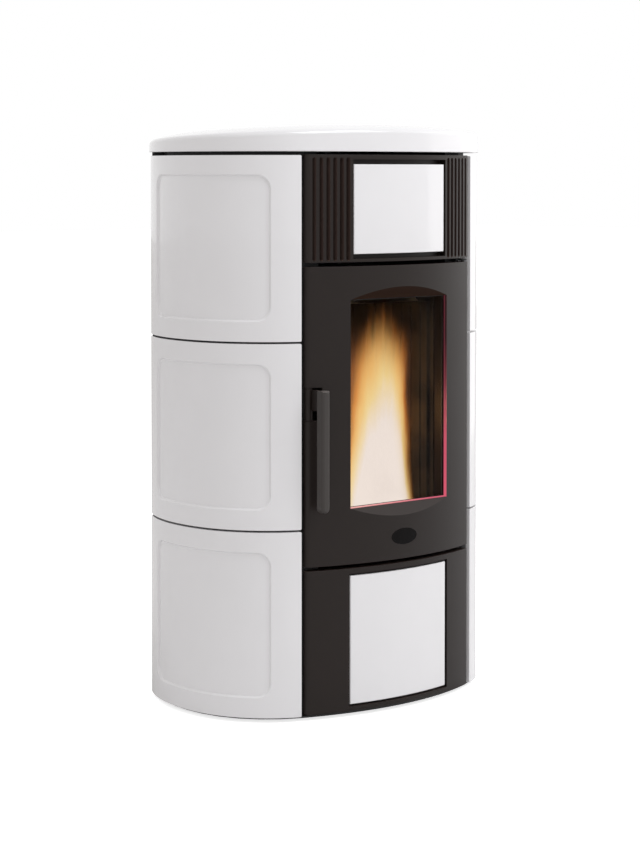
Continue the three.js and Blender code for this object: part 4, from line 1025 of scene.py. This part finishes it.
class STOVE_OT_top(PieceMaker, bpy.types.Operator):
    """The thick ceramic top with its fuel lid."""

    bl_idname = "stove.top"
    bl_label = "Top and fuel lid"

    def make(self):
        s = sizes()
        low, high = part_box("hopper_lid")
        pin_low, pin_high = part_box("lid_pin")
        pin = Vector((0, (pin_low.y + pin_high.y) / 2, (pin_low.z + pin_high.z) / 2))
        over = slab_high.z + 5 * MM
        gap = s.lid_gap
        frame_low, frame_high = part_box("hopper")
        mouth = 3 * MM
        slab = domed_top("glazed_top")
        cut(
            slab,
            block("well", low.x - gap, high.x + gap, low.y - gap, high.y + gap, low.z - gap / 2, over),
            block("mouth", frame_low.x + 2 * mouth, frame_high.x - 2 * mouth,
                  frame_low.y + mouth, frame_high.y - mouth, slab_low.z - mouth, over),
            barrel("scoop", 15 * MM, (0, low.y - 2 * MM, slab_high.z - 19 * MM), (0, low.y - 2 * MM, over)),
            barrel("pin_hole", 3.4 * MM, (pin_low.x - MM, pin.y, pin.z), (pin_high.x + MM, pin.y, pin.z), 32),
        )
        soften(slab, 0.8 * MM)
        smooth(slab, 30)
        settle(slab, "white_glaze", "root", "top_slab")

        lid = domed_top("glazed_lid")
        body = block("lid_body", low.x, high.x, low.y, pin.y, low.z, over)
        tail = barrel("lid_tail", high.y - pin.y, (low.x, pin.y, pin.z), (high.x, pin.y, pin.z), 64)
        boolean(body, "UNION", tail)
        boolean(lid, "INTERSECT", body)
        rim = 12 * MM
        cut(
            lid,
            block("lid_pocket", low.x + 2 * rim, high.x - 2 * rim, low.y + 2 * rim, pin.y - 2 * rim,
                  low.z - MM, low.z + 7 * MM),
            barrel("lid_bore", 3.4 * MM, (low.x - MM, pin.y, pin.z), (high.x + MM, pin.y, pin.z), 32),
        )
        soften(lid, 0.8 * MM)
        smooth(lid, 30)
        settle(lid, "white_glaze", "lid", "hopper_lid")


def column_panel(name, z0, z1):
    """A column panel with rounded upper and lower edges."""
    s = sizes()
    piece = raised(name, plan.panel_outline(), z0, z1)
    rear = plan.panel_rear - 0.2 * MM
    for z in (z0, z1):
        round_edges(piece, s.panel_round, lambda e: level(e, z) and middle(e).y < rear, 5)
    return piece


RECESS_DEPTH = 9.5 * MM


def rear_pads(z0, z1, height):
    """Pads on a panel's back that stand against the front posts."""
    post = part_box("front_post_right")[0].y
    pads = []
    for x0, x1 in ((-202 * MM, -178 * MM), (178 * MM, 202 * MM)):
        for z in (z0, z1 - height):
            pads.append(block("pad", x0, x1, plan.panel_rear - MM, post - 0.3 * MM, z, z + height))
    return pads


def upper_tile_box():
    """The upper tile's box, its head lowered with the top's lip."""
    low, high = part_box("upper_tile")
    return low, Vector((high.x, high.y, high.z - sizes().slab_lip))


class STOVE_OT_grille(PieceMaker, bpy.types.Operator):
    """The upper panel: slots each side of a recess with a white tile."""

    bl_idname = "stove.grille"
    bl_label = "Slotted grille"

    def make(self):
        s = sizes()
        z0, z1 = grille_low.z, grille_high.z - s.slab_lip
        tile_low, tile_high = upper_tile_box()
        rear = plan.panel_rear + MM
        margin = 5 * MM
        panel = column_panel("enamel_grille", z0, z1)
        boolean(panel, "UNION", joined("pads", rear_pads(z0, z1, margin)))
        side = tile_high.x + 3 * MM
        inner, outer = s.slot_first - s.slot_width / 2, plan.nose_x - MM
        around = 9 * MM
        recess = before_face("recess", -side, side, RECESS_DEPTH, tile_low.z - around, tile_high.z + around)
        corner = 5 * MM
        round_edges(recess, corner, lambda e: run_y(e) > corner and abs(abs(middle(e).x) - side) < MM)
        groove = 15 * MM
        cut(
            panel, recess,
            before_face("head_groove", -side, side, groove, tile_high.z - MM, tile_high.z + around),
            before_face("foot_groove", -side, side, groove, tile_low.z - around, tile_low.z + MM),
            behind_face("left_air", -outer, -inner, s.slot_depth, rear, z0 + margin, z1 - margin),
            behind_face("right_air", inner, outer, s.slot_depth, rear, z0 + margin, z1 - margin),
            behind_face("rear_air", -118 * MM, 118 * MM, 20 * MM, rear, z0 + 20 * MM, z1 - 20 * MM),
            self.slots(z0 + margin / 2, z1 - margin),
        )
        soften(panel, 0.6 * MM, 2, 40)
        smooth(panel, 35)
        settle(panel, "anthracite", "root", "grille_panel")

        def on_slot_wall(face):
            at = face.center
            sideways = abs(face.normal.x) > 0.6
            return sideways and inner - MM < abs(at.x) < outer and at.y > plan.face_y(at.x) + MM

        # Painted light: the slots' side walls take the paler enamel in place of light falling into them.
        second_finish(panel, "slot_enamel", on_slot_wall)

    def slots(self, z0, z1):
        s = sizes()
        radius = s.slot_width / 2
        first = barrel("slot", radius, (0, door_low.y - 5 * MM, z0 + radius),
                       (0, plan.panel_rear - 3 * MM, z0 + radius), 24)
        deep = plan.face_y(s.slot_first) + 2 * s.slot_depth
        with editing(first):
            pick("verts", lambda v: v.co.z > z0 + radius + 0.01 * MM)
            bpy.ops.transform.translate(value=(0, 0, z1 - z0 - 2 * radius))
            pick("verts", lambda v: v.co.y > deep)
            bpy.ops.transform.resize(value=(1 - s.slot_taper, 1, 1), center_override=(0, deep, 0))
        tools = []
        for side in (-1, 1):
            for i in range(s.slot_count):
                x = side * (s.slot_first + i * s.slot_pitch)
                tools.append(copy_of(first, "slot_tool", lambda p: Vector((p.x + x, p.y, p.z))))
        bpy.data.objects.remove(first)
        return joined("slots", tools)


class STOVE_OT_column_tiles(PieceMaker, bpy.types.Operator):
    """The two white tiles set in the column."""

    bl_idname = "stove.column_tiles"
    bl_label = "Column tiles"

    def make(self):
        for node, (low, high) in (("upper_tile", upper_tile_box()), ("lower_tile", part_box("lower_tile"))):
            tile = column_strip("glazed_" + node, low.x, high.x, 2 * MM, 7 * MM, low.z, high.z, 56)

            def on_front(edge):
                return all(v.co.y < plan.face_y(v.co.x, 2 * MM) + 0.1 * MM for v in edge.verts) and (
                    level(edge, low.z) or level(edge, high.z) or abs(middle(edge).x) > high.x - 0.1 * MM
                )

            round_edges(tile, 1.6 * MM, on_front, 4)
            smooth(tile, 40)
            settle(tile, "white_glaze", "root", node)


class STOVE_OT_lower_panel(PieceMaker, bpy.types.Operator):
    """The lower panel with the groove round its white tile."""

    bl_idname = "stove.lower_panel"
    bl_label = "Lower panel"

    def make(self):
        z0, z1 = lower_low.z, lower_high.z
        tile_low, tile_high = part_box("lower_tile")
        groove = 4 * MM
        side, rib = tile_high.x + groove, 40 * MM
        panel = column_panel("enamel_lower_panel", z0, z1)
        boolean(panel, "UNION", joined("pads", rear_pads(z0, z1, 24 * MM)))
        cut(
            panel,
            before_face("recess", -side, side, RECESS_DEPTH, tile_low.z - groove, tile_high.z + groove),
            behind_face("back", -192 * MM, 192 * MM, 17 * MM, plan.panel_rear + MM, z0 + rib, z1 - rib),
        )
        soften(panel, 0.6 * MM, 2, 40)
        smooth(panel, 35)
        settle(panel, "anthracite", "root", "lower_panel")


class STOVE_OT_door(PieceMaker, bpy.types.Operator):
    """The fire door: a curved frame with sloped facets above and below its window."""

    bl_idname = "stove.door"
    bl_label = "Fire door"

    def make(self):
        s = sizes()
        z0, z1 = door_low.z, door_high.z
        glass_low, glass_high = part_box("door_glass")
        rebate = glass_high.x - s.window_half + MM
        foot, head = glass_low.z + rebate, glass_high.z - rebate
        front, rear = door_low.y - 2 * MM, plan.panel_rear + MM
        half = s.window_half
        keeper_low, keeper_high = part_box("latch_keeper")
        latch = (keeper_low.z + keeper_high.z) / 2
        notch = (latch - 32 * MM, latch + 31 * MM)
        pin, bore, pin_depth = plan.nose_x, 3.9 * MM, 14 * MM
        near, far, wall, rib = 156 * MM, 192 * MM, 6 * MM, 10 * MM
        door = column_panel("enamel_door", z0, z1)
        cut(
            door,
            block("window", -half, half, front, rear, foot, head),
            self.facets(half, foot, head, front, glass_low.y - 5.3 * MM),
            block("rebate", -half - rebate, half + rebate, glass_low.y - 0.3 * MM, rear,
                  glass_low.z - MM, glass_high.z + MM),
            behind_face("right_hollow", near, far, wall, rear, z0 + rib, z1 - rib),
            behind_face("left_hollow", -far, -near, wall, rear, z0 + rib, z1 - rib),
            behind_face("foot_hollow", -138 * MM, 138 * MM, wall, rear,
                        z0 + 18 * MM, foot - rebate - 26 * MM),
            block("notch", -plan.column_half - MM, -187 * MM, front, rear, *notch),
            block("latch_slot", -188 * MM, -165 * MM, plan.chord_y - 2 * MM, rear,
                  latch - 20 * MM, latch + 20 * MM),
            barrel("foot_bore", bore, (pin, plan.nose_y, z0 - MM), (pin, plan.nose_y, z0 + pin_depth), 24),
            barrel("head_bore", bore, (pin, plan.nose_y, z1 - pin_depth), (pin, plan.nose_y, z1 + MM), 24),
            barrel("lever_bore", 3.5 * MM, (-pin, plan.nose_y, notch[0] - 9 * MM),
                   (-pin, plan.nose_y, notch[1] + 9 * MM), 24),
        )
        soften(door, 0.7 * MM, 2, 28)
        smooth(door, 26)
        settle(door, "anthracite", "door", "door_frame")

        def under_arch(face):
            at = face.center
            return face.normal.z < -0.3 and head - MM < at.z < z1 - 20 * MM and abs(at.x) < half

        # The downward-facing facet over the window takes the darker brown enamel.
        second_finish(door, "browned_enamel", under_arch)
        self.badge()

    def facets(self, half, foot, head, front, mouth_y):
        """The tool for the sloped facets: it opens upwards and downwards towards the front."""
        s = sizes()
        climb = s.window_splay * (mouth_y - front) / (mouth_y - door_low.y)
        tool = block("facets", -half, half, front, mouth_y, foot, head)
        with editing(tool):
            for way in (1, -1):
                pick("verts", lambda v: v.co.y < front + MM and (v.co.z - (foot + head) / 2) * way > 0)
                bpy.ops.transform.translate(value=(0, 0, way * climb))
        return tool

    def badge(self):
        """The oval badge under the window, left bare."""
        s = sizes()
        height = door_low.z + 43 * MM
        plate = primitive(
            "badge", bpy.ops.mesh.primitive_cylinder_add, vertices=96, radius=1, depth=2,
            rotation=(math.pi / 2, 0, 0), location=(0, 0, height),
            scale=(s.badge_half, s.badge_rise, MM),
        )
        with editing(plate):
            pick("faces", lambda f: f.normal.y < -0.9)
            bpy.ops.mesh.inset(thickness=1.6 * MM, depth=-0.4 * MM)
            bpy.ops.mesh.inset(thickness=0.3 * MM, depth=0)
        round_edges(plate, 0.3 * MM, lambda e: e.calc_face_angle(0) > 0.8, 2)
        slice_every(plate, 0, -s.badge_half, s.badge_half, 16)
        reshape(plate, lambda p: Vector((p.x, plan.face_y(p.x) + p.y, p.z)))
        smooth(plate, 35)
        settle(plate, "black_gloss", "door", slot="anthracite")


class STOVE_OT_door_fittings(PieceMaker, bpy.types.Operator):
    """The glass, its retainer, the rope seal and the hinge brackets."""

    bl_idname = "stove.door_fittings"
    bl_label = "Door fittings"

    painted = {
        "stove_glass": "door_glass",
        "black_steel": "glass_retainer hinge_bracket_bottom hinge_bracket_top",
        "zinc_steel": "latch_keeper",
    }

    def make(self):
        """The seal: a rope laid in a rounded rectangle on the door's back."""
        low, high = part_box("door_gasket")
        radius = (high.y - low.y) / 2
        shrink = 9 * MM
        path = primitive(
            "path", bpy.ops.mesh.primitive_plane_add, size=1, rotation=(math.pi / 2, 0, 0),
            location=((low.x + high.x) / 2, (low.y + high.y) / 2, (low.z + high.z) / 2),
            scale=(high.x - low.x - shrink, high.z - low.z - shrink, 1),
        )
        with editing(path):
            pick("verts", lambda v: True)
            bpy.ops.mesh.bevel(offset=14 * MM, segments=6, affect="VERTICES")
            bpy.ops.mesh.delete(type="ONLY_FACE")
        activate(path)
        bpy.ops.object.convert(target="CURVE")
        curve = bpy.context.object
        curve.data.bevel_depth = radius
        curve.data.bevel_resolution = 4
        bpy.ops.object.convert(target="MESH")
        seal = bpy.context.object
        seal.name = seal.data.name = "rope_door_seal"
        smooth(seal, 60, False)
        settle(seal, "rope_seal", "door", "door_gasket")


class STOVE_OT_handle(PieceMaker, bpy.types.Operator):
    """The grip and its lever."""

    bl_idname = "stove.handle"
    bl_label = "Handle"
    painted = {"anthracite": "handle_lever"}

    def make(self):
        low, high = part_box("handle_grip")
        outwards_by = 3.5 * MM
        low.x, high.x = low.x - outwards_by, high.x - outwards_by
        half = (high.x - low.x) / 2
        grip = block("enamel_grip", low.x, high.x, low.y, high.y, low.z, high.z)

        def at_foot(edge):
            x = middle(edge).x
            return level(edge, low.z) and (abs(x - low.x) < MM or abs(x - high.x) < MM)

        round_edges(grip, half * 0.98, at_foot, 12)
        round_edges(grip, 7.5 * MM, lambda e: before(e, low.y + 0.01 * MM), 8)
        round_edges(grip, 1.2 * MM, lambda e: beyond(e, high.y - 0.01 * MM), 2)
        smooth(grip, 40)
        settle(grip, "bronze", "handle", "handle_grip", slot="handle_bronze")


class STOVE_OT_carcass(PieceMaker, bpy.types.Operator):
    """Finishes of the base, posts, liners, rear panel and top frame."""

    bl_idname = "stove.carcass"
    bl_label = "Carcass"

    painted = {
        "black_steel": "base_plate front_post_left front_post_right rear_panel top_frame"
                       " side_liner_left side_liner_right",
        "zinc_steel": "lid_pin",
    }


class STOVE_OT_firebox(PieceMaker, bpy.types.Operator):
    """Finishes of the firebox and what is in it."""

    bl_idname = "stove.firebox"
    bl_label = "Firebox"

    painted = {
        "cast_iron": "firebox liner_back liner_left liner_right burn_pot burn_pot_holder",
        "fire_board": "baffle_plate",
        "zinc_steel": "ash_drawer",
        "stainless": "igniter",
    }


class STOVE_OT_rear_fittings(PieceMaker, bpy.types.Operator):
    """The pipes, keypad and screws of the rear panel, and the levelling feet."""

    bl_idname = "stove.rear_fittings"
    bl_label = "Rear fittings and feet"

    def make(self):
        flange = 10 * MM
        self.pipe("flue_spigot", "black_steel", "spigot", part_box("flue_spigot"), 3 * MM, flange)
        self.pipe("air_inlet_pipe", "zinc_steel", "air_pipe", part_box("air_inlet_pipe"), 1.5 * MM, 0)
        for corner in ("front_left", "front_right", "rear_left", "rear_right"):
            self.foot("foot_" + corner)
        self.keypad()
        self.screws()

    def pipe(self, node, finish, name, bounds, wall, flange):
        """A round pipe along Y, with a flange at its inner end if one is asked for."""
        low, high = bounds
        x, z = (low.x + high.x) / 2, (low.z + high.z) / 2
        radius = (high.x - low.x) / 2 - flange
        pipe = barrel(name, radius, (x, low.y, z), (x, high.y, z), 64)
        if flange:
            boolean(pipe, "UNION", barrel("flange", radius + flange, (x, low.y, z), (x, low.y + wall, z), 64))
        cut(pipe, barrel("bore", radius - wall, (x, low.y - MM, z), (x, high.y + MM, z), 64))
        soften(pipe, 0.5 * MM)
        smooth(pipe, 30)
        settle(pipe, finish, "root", node)

    def foot(self, node):
        """A levelling foot: a round plate with a sloped top and a threaded stem."""
        low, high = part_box(node)
        x, y = (low.x + high.x) / 2, (low.y + high.y) / 2
        plate, pitch, stem = 5.7 * MM, 1.5 * MM, 5 * MM
        foot = barrel(node + "_turned", (high.x - low.x) / 2, (x, y, low.z), (x, y, low.z + plate), 48)
        round_edges(foot, 1.8 * MM, lambda e: level(e, low.z + plate), 3)
        threads = []
        for i in range(int((high.z - low.z - plate) / pitch)):
            z = low.z + plate + i * pitch
            thread = barrel("thread", stem, (x, y, z - 0.1 * MM), (x, y, z + pitch), 24)
            with editing(thread):
                pick("verts", lambda v: v.co.z > z + pitch / 2)
                bpy.ops.transform.resize(value=(0.86, 0.86, 1), center_override=(x, y, z))
            threads.append(thread)
        foot = joined(foot.name, [foot] + threads)
        smooth(foot, 30)
        settle(foot, "zinc_steel", "root", node)

    def keypad(self):
        """The keypad: a rounded pad with a dark display and four domed buttons."""
        low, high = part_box("control_panel")
        x, z = (low.x + high.x) / 2, (low.z + high.z) / 2
        pad = block("keypad", low.x, high.x, low.y, high.y, low.z, high.z)
        round_edges(pad, 6 * MM, lambda e: run_y(e) > MM, 6)
        cut(pad, block("display_well", x - 24 * MM, x + 24 * MM, high.y - 0.7 * MM, high.y + MM,
                       z + 4 * MM, z + 18 * MM))
        for step in (-26, -9, 9, 26):
            place = (x + step * MM, high.y - 0.4 * MM, z - 12 * MM)
            button = barrel("button", 5 * MM, place, (place[0], high.y + 1.1 * MM, place[2]), 32)
            round_edges(button, 0.7 * MM, lambda e: beyond(e, high.y + MM), 3)
            boolean(pad, "UNION", button)
        soften(pad, 0.35 * MM)
        smooth(pad, 32)
        settle(pad, "black_plastic", "root", "control_panel")
        display = block("keypad_display", x - 23.7 * MM, x + 23.7 * MM, high.y - 0.8 * MM, high.y - 0.3 * MM,
                        z + 4.3 * MM, z + 17.7 * MM)
        soften(display, 0.15 * MM)
        smooth(display, 32)
        settle(display, "black_gloss", "root", slot="black_plastic")

    def screws(self):
        """Pan-head screws down both sides of the rear panel and round the spigot."""
        low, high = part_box("rear_panel")
        flue_low, flue_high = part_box("flue_spigot")
        face, head = high.y, 2.2 * MM
        first = barrel("screw", 4 * MM, (0, face - 0.2 * MM, 0), (0, face + head, 0), 20)
        round_edges(first, 1.3 * MM, lambda e: beyond(e, face + MM), 3)
        for half_x, half_z in ((2.4, 0.45), (0.45, 2.4)):
            cut(first, block("cross", -half_x * MM, half_x * MM, face + head - 0.9 * MM, face + head + MM,
                             -half_z * MM, half_z * MM))
        rows = 6
        margin = 22 * MM
        span = high.z - low.z - 2 * margin
        edge = 262 * MM
        heights = [low.z + margin + span * i / (rows - 1) for i in range(rows)]
        places = [(side * edge, z) for side in (-1, 1) for z in heights]
        flue = Vector(((flue_low.x + flue_high.x) / 2, (flue_low.z + flue_high.z) / 2))
        ring = 41 * MM
        places += [(flue.x + dx * ring, flue.y + dz * ring) for dx in (-1, 1) for dz in (-1, 1)]
        tools = [copy_of(first, "screw", lambda p: Vector((p.x + x, p.y, p.z + z))) for x, z in places]
        bpy.data.objects.remove(first)
        screws = joined("rear_screws", tools)
        smooth(screws, 32)
        settle(screws, "zinc_steel", "root")


def flame_place():
    """The middle of the flame's foot, its height over the floor and how high it rises."""
    s = sizes()
    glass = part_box("door_glass")
    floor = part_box("burn_pot_holder")[0].z
    centre = Vector((s.flame_shift, glass[1].y + s.flame_back))
    return centre, floor, glass[1].z - floor


def flame_facing():
    """The way the flame's sheets face, and the way they run."""
    facing = math.radians(30)
    ahead = Vector((-math.sin(facing), -math.cos(facing)))
    return ahead, Vector((-ahead.y, ahead.x))


def pellet_shape(name, radius, length):
    """One pellet along X: a short rod with broken, slightly rounded ends."""
    pellet = barrel(name, radius, (-length / 2, 0, 0), (length / 2, 0, 0), 8)
    with editing(pellet):
        pick("edges", lambda e: abs(abs(middle(e).x) - length / 2) < 0.1 * MM)
        bpy.ops.mesh.bevel(offset=radius * 0.25, segments=1, affect="EDGES")
    return pellet


def heap(name, x0, x1, y0, y1, top, count, pellet, dome=0.0, seed=1):
    """Pellets strewn over a level or a low mound, over a bed that closes the gaps."""
    draw = random.Random(seed)

    def surface(x, y):
        u, v = 2 * (x - x0) / (x1 - x0) - 1, 2 * (y - y0) / (y1 - y0) - 1
        return top + dome * (1 - 0.5 * u * u - 0.5 * v * v)

    bed = primitive(
        name, bpy.ops.mesh.primitive_grid_add, x_subdivisions=24, y_subdivisions=10, size=1,
        location=((x0 + x1) / 2, (y0 + y1) / 2, top), scale=(x1 - x0, y1 - y0, 1),
    )
    reshape(bed, lambda p: Vector((p.x, p.y, surface(p.x, p.y) - 4 * MM + draw.uniform(-1, 1) * MM)))
    inset = 9 * MM
    pieces = [bed]
    for _ in range(count):
        x, y = draw.uniform(x0 + inset, x1 - inset), draw.uniform(y0 + inset, y1 - inset)
        turn = Euler((draw.uniform(0, 6), draw.uniform(-0.4, 0.4), draw.uniform(0, 6))).to_matrix()
        at = Vector((x, y, surface(x, y) + draw.uniform(-3, 2) * MM))
        stretch = draw.uniform(0.7, 1.25)
        pieces.append(copy_of(pellet, "pellet", lambda p: turn @ Vector((p.x * stretch, p.y, p.z)) + at))
    bpy.data.objects.remove(pellet)
    return joined(name, pieces)


def light(name, kind, place, power, tone):
    data = bpy.data.lights.new(name, kind)
    data.energy = power
    data.color = tone
    lamp = bpy.data.objects.new(name, data)
    lamp.location = place
    bpy.context.scene.collection.objects.link(lamp)
    return lamp


class STOVE_OT_fire(PieceMaker, bpy.types.Operator):
    """The flame, the burning pellets, the glow on the window's edge and the fuel in the hopper."""

    bl_idname = "stove.fire"
    bl_label = "Fire and pellets"

    def make(self):
        self.flame()
        self.embers()
        self.fuel()
        self.edge_glow()
        self.firelight()

    def flame(self):
        """Five upright sheets through the flame, which their material shapes."""
        s = sizes()
        centre, foot, height = flame_place()
        ahead, along = flame_facing()
        sheets = []
        for i in range(5):
            start = centre + ahead * (i - 2) * s.flame_sheet
            sheet = primitive(
                f"flame_{i + 1}", bpy.ops.mesh.primitive_grid_add, x_subdivisions=20, y_subdivisions=32,
                size=1, rotation=(math.pi / 2, 0, 0),
            )

            def place(p):
                rise = p.z + 0.5
                out = start + along * p.x * 2.3 * s.flame_half
                out += ahead * math.sin(7 * rise + 1.3 * i) * math.sin(3 * p.x + i) * 3.5 * MM
                return Vector((out.x, out.y, foot + rise * height))

            reshape(sheet, place)
            sheets.append(sheet)
        flame = joined("flame", sheets)
        smooth(flame, 60, False)
        settle(flame, "flame", "root", slot="")

    def embers(self):
        low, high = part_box("burn_pot")
        rim = 11 * MM
        pellet = pellet_shape("pellet", 3 * MM, 17 * MM)
        bed = heap("glowing_pellets", low.x + rim, high.x - rim, low.y + rim * 0.8, high.y - rim * 0.8,
                   high.z - 10 * MM, 90, pellet, 8 * MM, 5)
        settle(bed, "ember", "root", slot="")

    def fuel(self):
        low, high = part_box("hopper_grid")
        pellet = pellet_shape("pellet", 3 * MM, 18 * MM)
        bed = heap("wood_pellets", low.x + MM, high.x - MM, low.y + MM, high.y - MM,
                   low.z - 32 * MM, 620, pellet, 14 * MM, 9)
        settle(bed, "pressed_wood", "root", slot="")

    def edge_glow(self):
        """A thin glowing strip along the right and lower edge of the window: a painted reflection of the
        fire, made with emission.
        """
        s = sizes()
        low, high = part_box("door_glass")
        half = s.window_half
        foot = low.z + high.x - half + MM
        head = high.z - (high.x - half + MM)
        front = low.y - 0.5 * MM
        jamb = block("window_glow", half - 3 * MM, half - 0.1 * MM, front - 1.2 * MM, front, foot, head)
        lining = block("lining", half - 0.6 * MM, half - 0.1 * MM, front - 5 * MM, front - MM, foot, head)
        sill = block("sill", -half + 0.2 * MM, half - 2 * MM, front - 3 * MM, front,
                     foot + 0.1 * MM, foot + 2.2 * MM)
        boolean(jamb, "UNION", lining, sill)
        soften(jamb, 0.2 * MM, 2)
        smooth(jamb, 35)
        settle(jamb, "window_glow", "door", slot="")

    def firelight(self):
        """The light that the flame throws on the firebox."""
        centre, foot, height = flame_place()
        place = (centre.x, centre.y + 25 * MM, foot + 0.45 * height)
        light("firelight", "POINT", place, 0.8, (1.0, 0.52, 0.2)).data.shadow_soft_size = 40 * MM


class STOVE_OT_machinery(PieceMaker, bpy.types.Operator):
    """Finishes of the fuel feed, the smoke path, the fans and the electrics."""

    bl_idname = "stove.machinery"
    bl_label = "Feed, fans and electrics"

    painted = {
        "zinc_steel": "hopper hopper_grid auger_tube auger_motor feed_chute smoke_duct"
                      " smoke_fan_housing room_fan_housing room_fan_motor",
        "stainless": "auger_screw smoke_fan_impeller",
        "black_plastic": "smoke_fan_motor room_fan_impeller power_inlet power_switch",
    }


SKY_TONE = (1.0, 0.98, 0.972)
SKY_STRENGTH = 0.73
LAMP_AIM = Vector((0, 0, 0.6))
CAMERA_PLACE = (-3.2033, -3.5166, 1.0371)
CAMERA_AZIMUTH = math.radians(42.1403)
CAMERA_PITCH = math.radians(2.0753)
CAMERA_LENS = 99.79
CAMERA_SHIFT = (0.00979, -0.2)


class STOVE_OT_stage(PieceMaker, bpy.types.Operator):
    """The floor, the lamps and the camera."""

    bl_idname = "stove.stage"
    bl_label = "Stage"

    def make(self):
        self.floor()
        self.daylight()
        self.lamp("key", (0.9, -2.6, 3.9), 2.6, 76, (0.93, 0.96, 1.0))
        self.lamp("side", (4.4, -0.5, 1.4), 4.6, 46, (1.0, 0.98, 0.97))
        self.camera()

    def floor(self):
        ground = primitive("floor", bpy.ops.mesh.primitive_plane_add, size=60, location=(0, 0, 0))
        finish = Finish("pale_floor", Roughness=0.9, Emission_Strength=1.0)
        rays = finish.node("ShaderNodeLightPath", output="Is Camera Ray")
        mottle = finish.noise(3, 3)
        lift = finish.mix(rays, (0, 0, 0), (0.75, 0.75, 0.75))
        finish.set(Base_Color=finish.mix(mottle, (0.80, 0.80, 0.80), (0.83, 0.83, 0.83)), Emission_Color=lift)
        ground.data.materials.append(finish.data)

    def daylight(self):
        world = bpy.data.worlds.new("studio")
        bpy.context.scene.world = world
        sky = Nodes(world)
        camera, glossy, through = (
            sky.node("ShaderNodeLightPath", output=f"Is {ray} Ray")
            for ray in ("Camera", "Glossy", "Transmission")
        )
        soft = sky.node("ShaderNodeBackground", None, {"Color": SKY_TONE, "Strength": SKY_STRENGTH})
        white = sky.node("ShaderNodeBackground", None, {"Color": (1, 1, 1), "Strength": 1.0})
        seen = camera.most(glossy).most(through)
        sky.end("ShaderNodeOutputWorld", sky.node("ShaderNodeMixShader", None, {0: seen, 1: soft, 2: white}))

    def lamp(self, name, place, size, power, tone):
        """A square lamp that points at the stove's middle."""
        lamp = light(name, "AREA", place, power, tone)
        lamp.data.size = size
        lamp.rotation_euler = (LAMP_AIM - Vector(place)).to_track_quat("-Z", "Y").to_euler()

    def camera(self):
        data = bpy.data.cameras.new("camera")
        data.lens = CAMERA_LENS
        data.shift_x, data.shift_y = CAMERA_SHIFT
        camera = bpy.data.objects.new("camera", data)
        camera.location = CAMERA_PLACE
        camera.rotation_euler = Euler((math.pi / 2 - CAMERA_PITCH, 0, -CAMERA_AZIMUTH))
        bpy.context.scene.collection.objects.link(camera)
        bpy.context.scene.camera = camera


OPERATORS = (
    STOVE_OT_stage,
    STOVE_OT_carcass,
    STOVE_OT_firebox,
    STOVE_OT_machinery,
    STOVE_OT_rear_fittings,
    STOVE_OT_side_tiles,
    STOVE_OT_top,
    STOVE_OT_grille,
    STOVE_OT_column_tiles,
    STOVE_OT_lower_panel,
    STOVE_OT_door,
    STOVE_OT_door_fittings,
    STOVE_OT_handle,
    STOVE_OT_fire,
)


class STOVE_PT_panel(bpy.types.Panel):
    """Lists the stove's operators in the sidebar."""

    bl_label = "Tiled stove"
    bl_idname = "STOVE_PT_panel"
    bl_space_type = "VIEW_3D"
    bl_region_type = "UI"
    bl_category = "Stove"

    def draw(self, context):
        for operator in OPERATORS:
            self.layout.operator(operator.bl_idname)
        for group in (context.scene.stove_sizes, context.scene.stove_finishes):
            for name in group.__annotations__:
                self.layout.prop(group, name)


def register():
    for kind in (StoveSizes, StoveFinishes, *OPERATORS, STOVE_PT_panel):
        bpy.utils.register_class(kind)
    bpy.types.Scene.stove_sizes = PointerProperty(type=StoveSizes)
    bpy.types.Scene.stove_finishes = PointerProperty(type=StoveFinishes)


def unregister():
    del bpy.types.Scene.stove_sizes
    del bpy.types.Scene.stove_finishes
    for kind in (STOVE_PT_panel, *reversed(OPERATORS), StoveFinishes, StoveSizes):
        bpy.utils.unregister_class(kind)


def main():
    register()
    bpy.context.scene.view_settings.view_transform = "Standard"
    for operator in OPERATORS:
        family, name = operator.bl_idname.split(".")
        getattr(getattr(bpy.ops, family), name)()


if __name__ == "__main__":
    main()
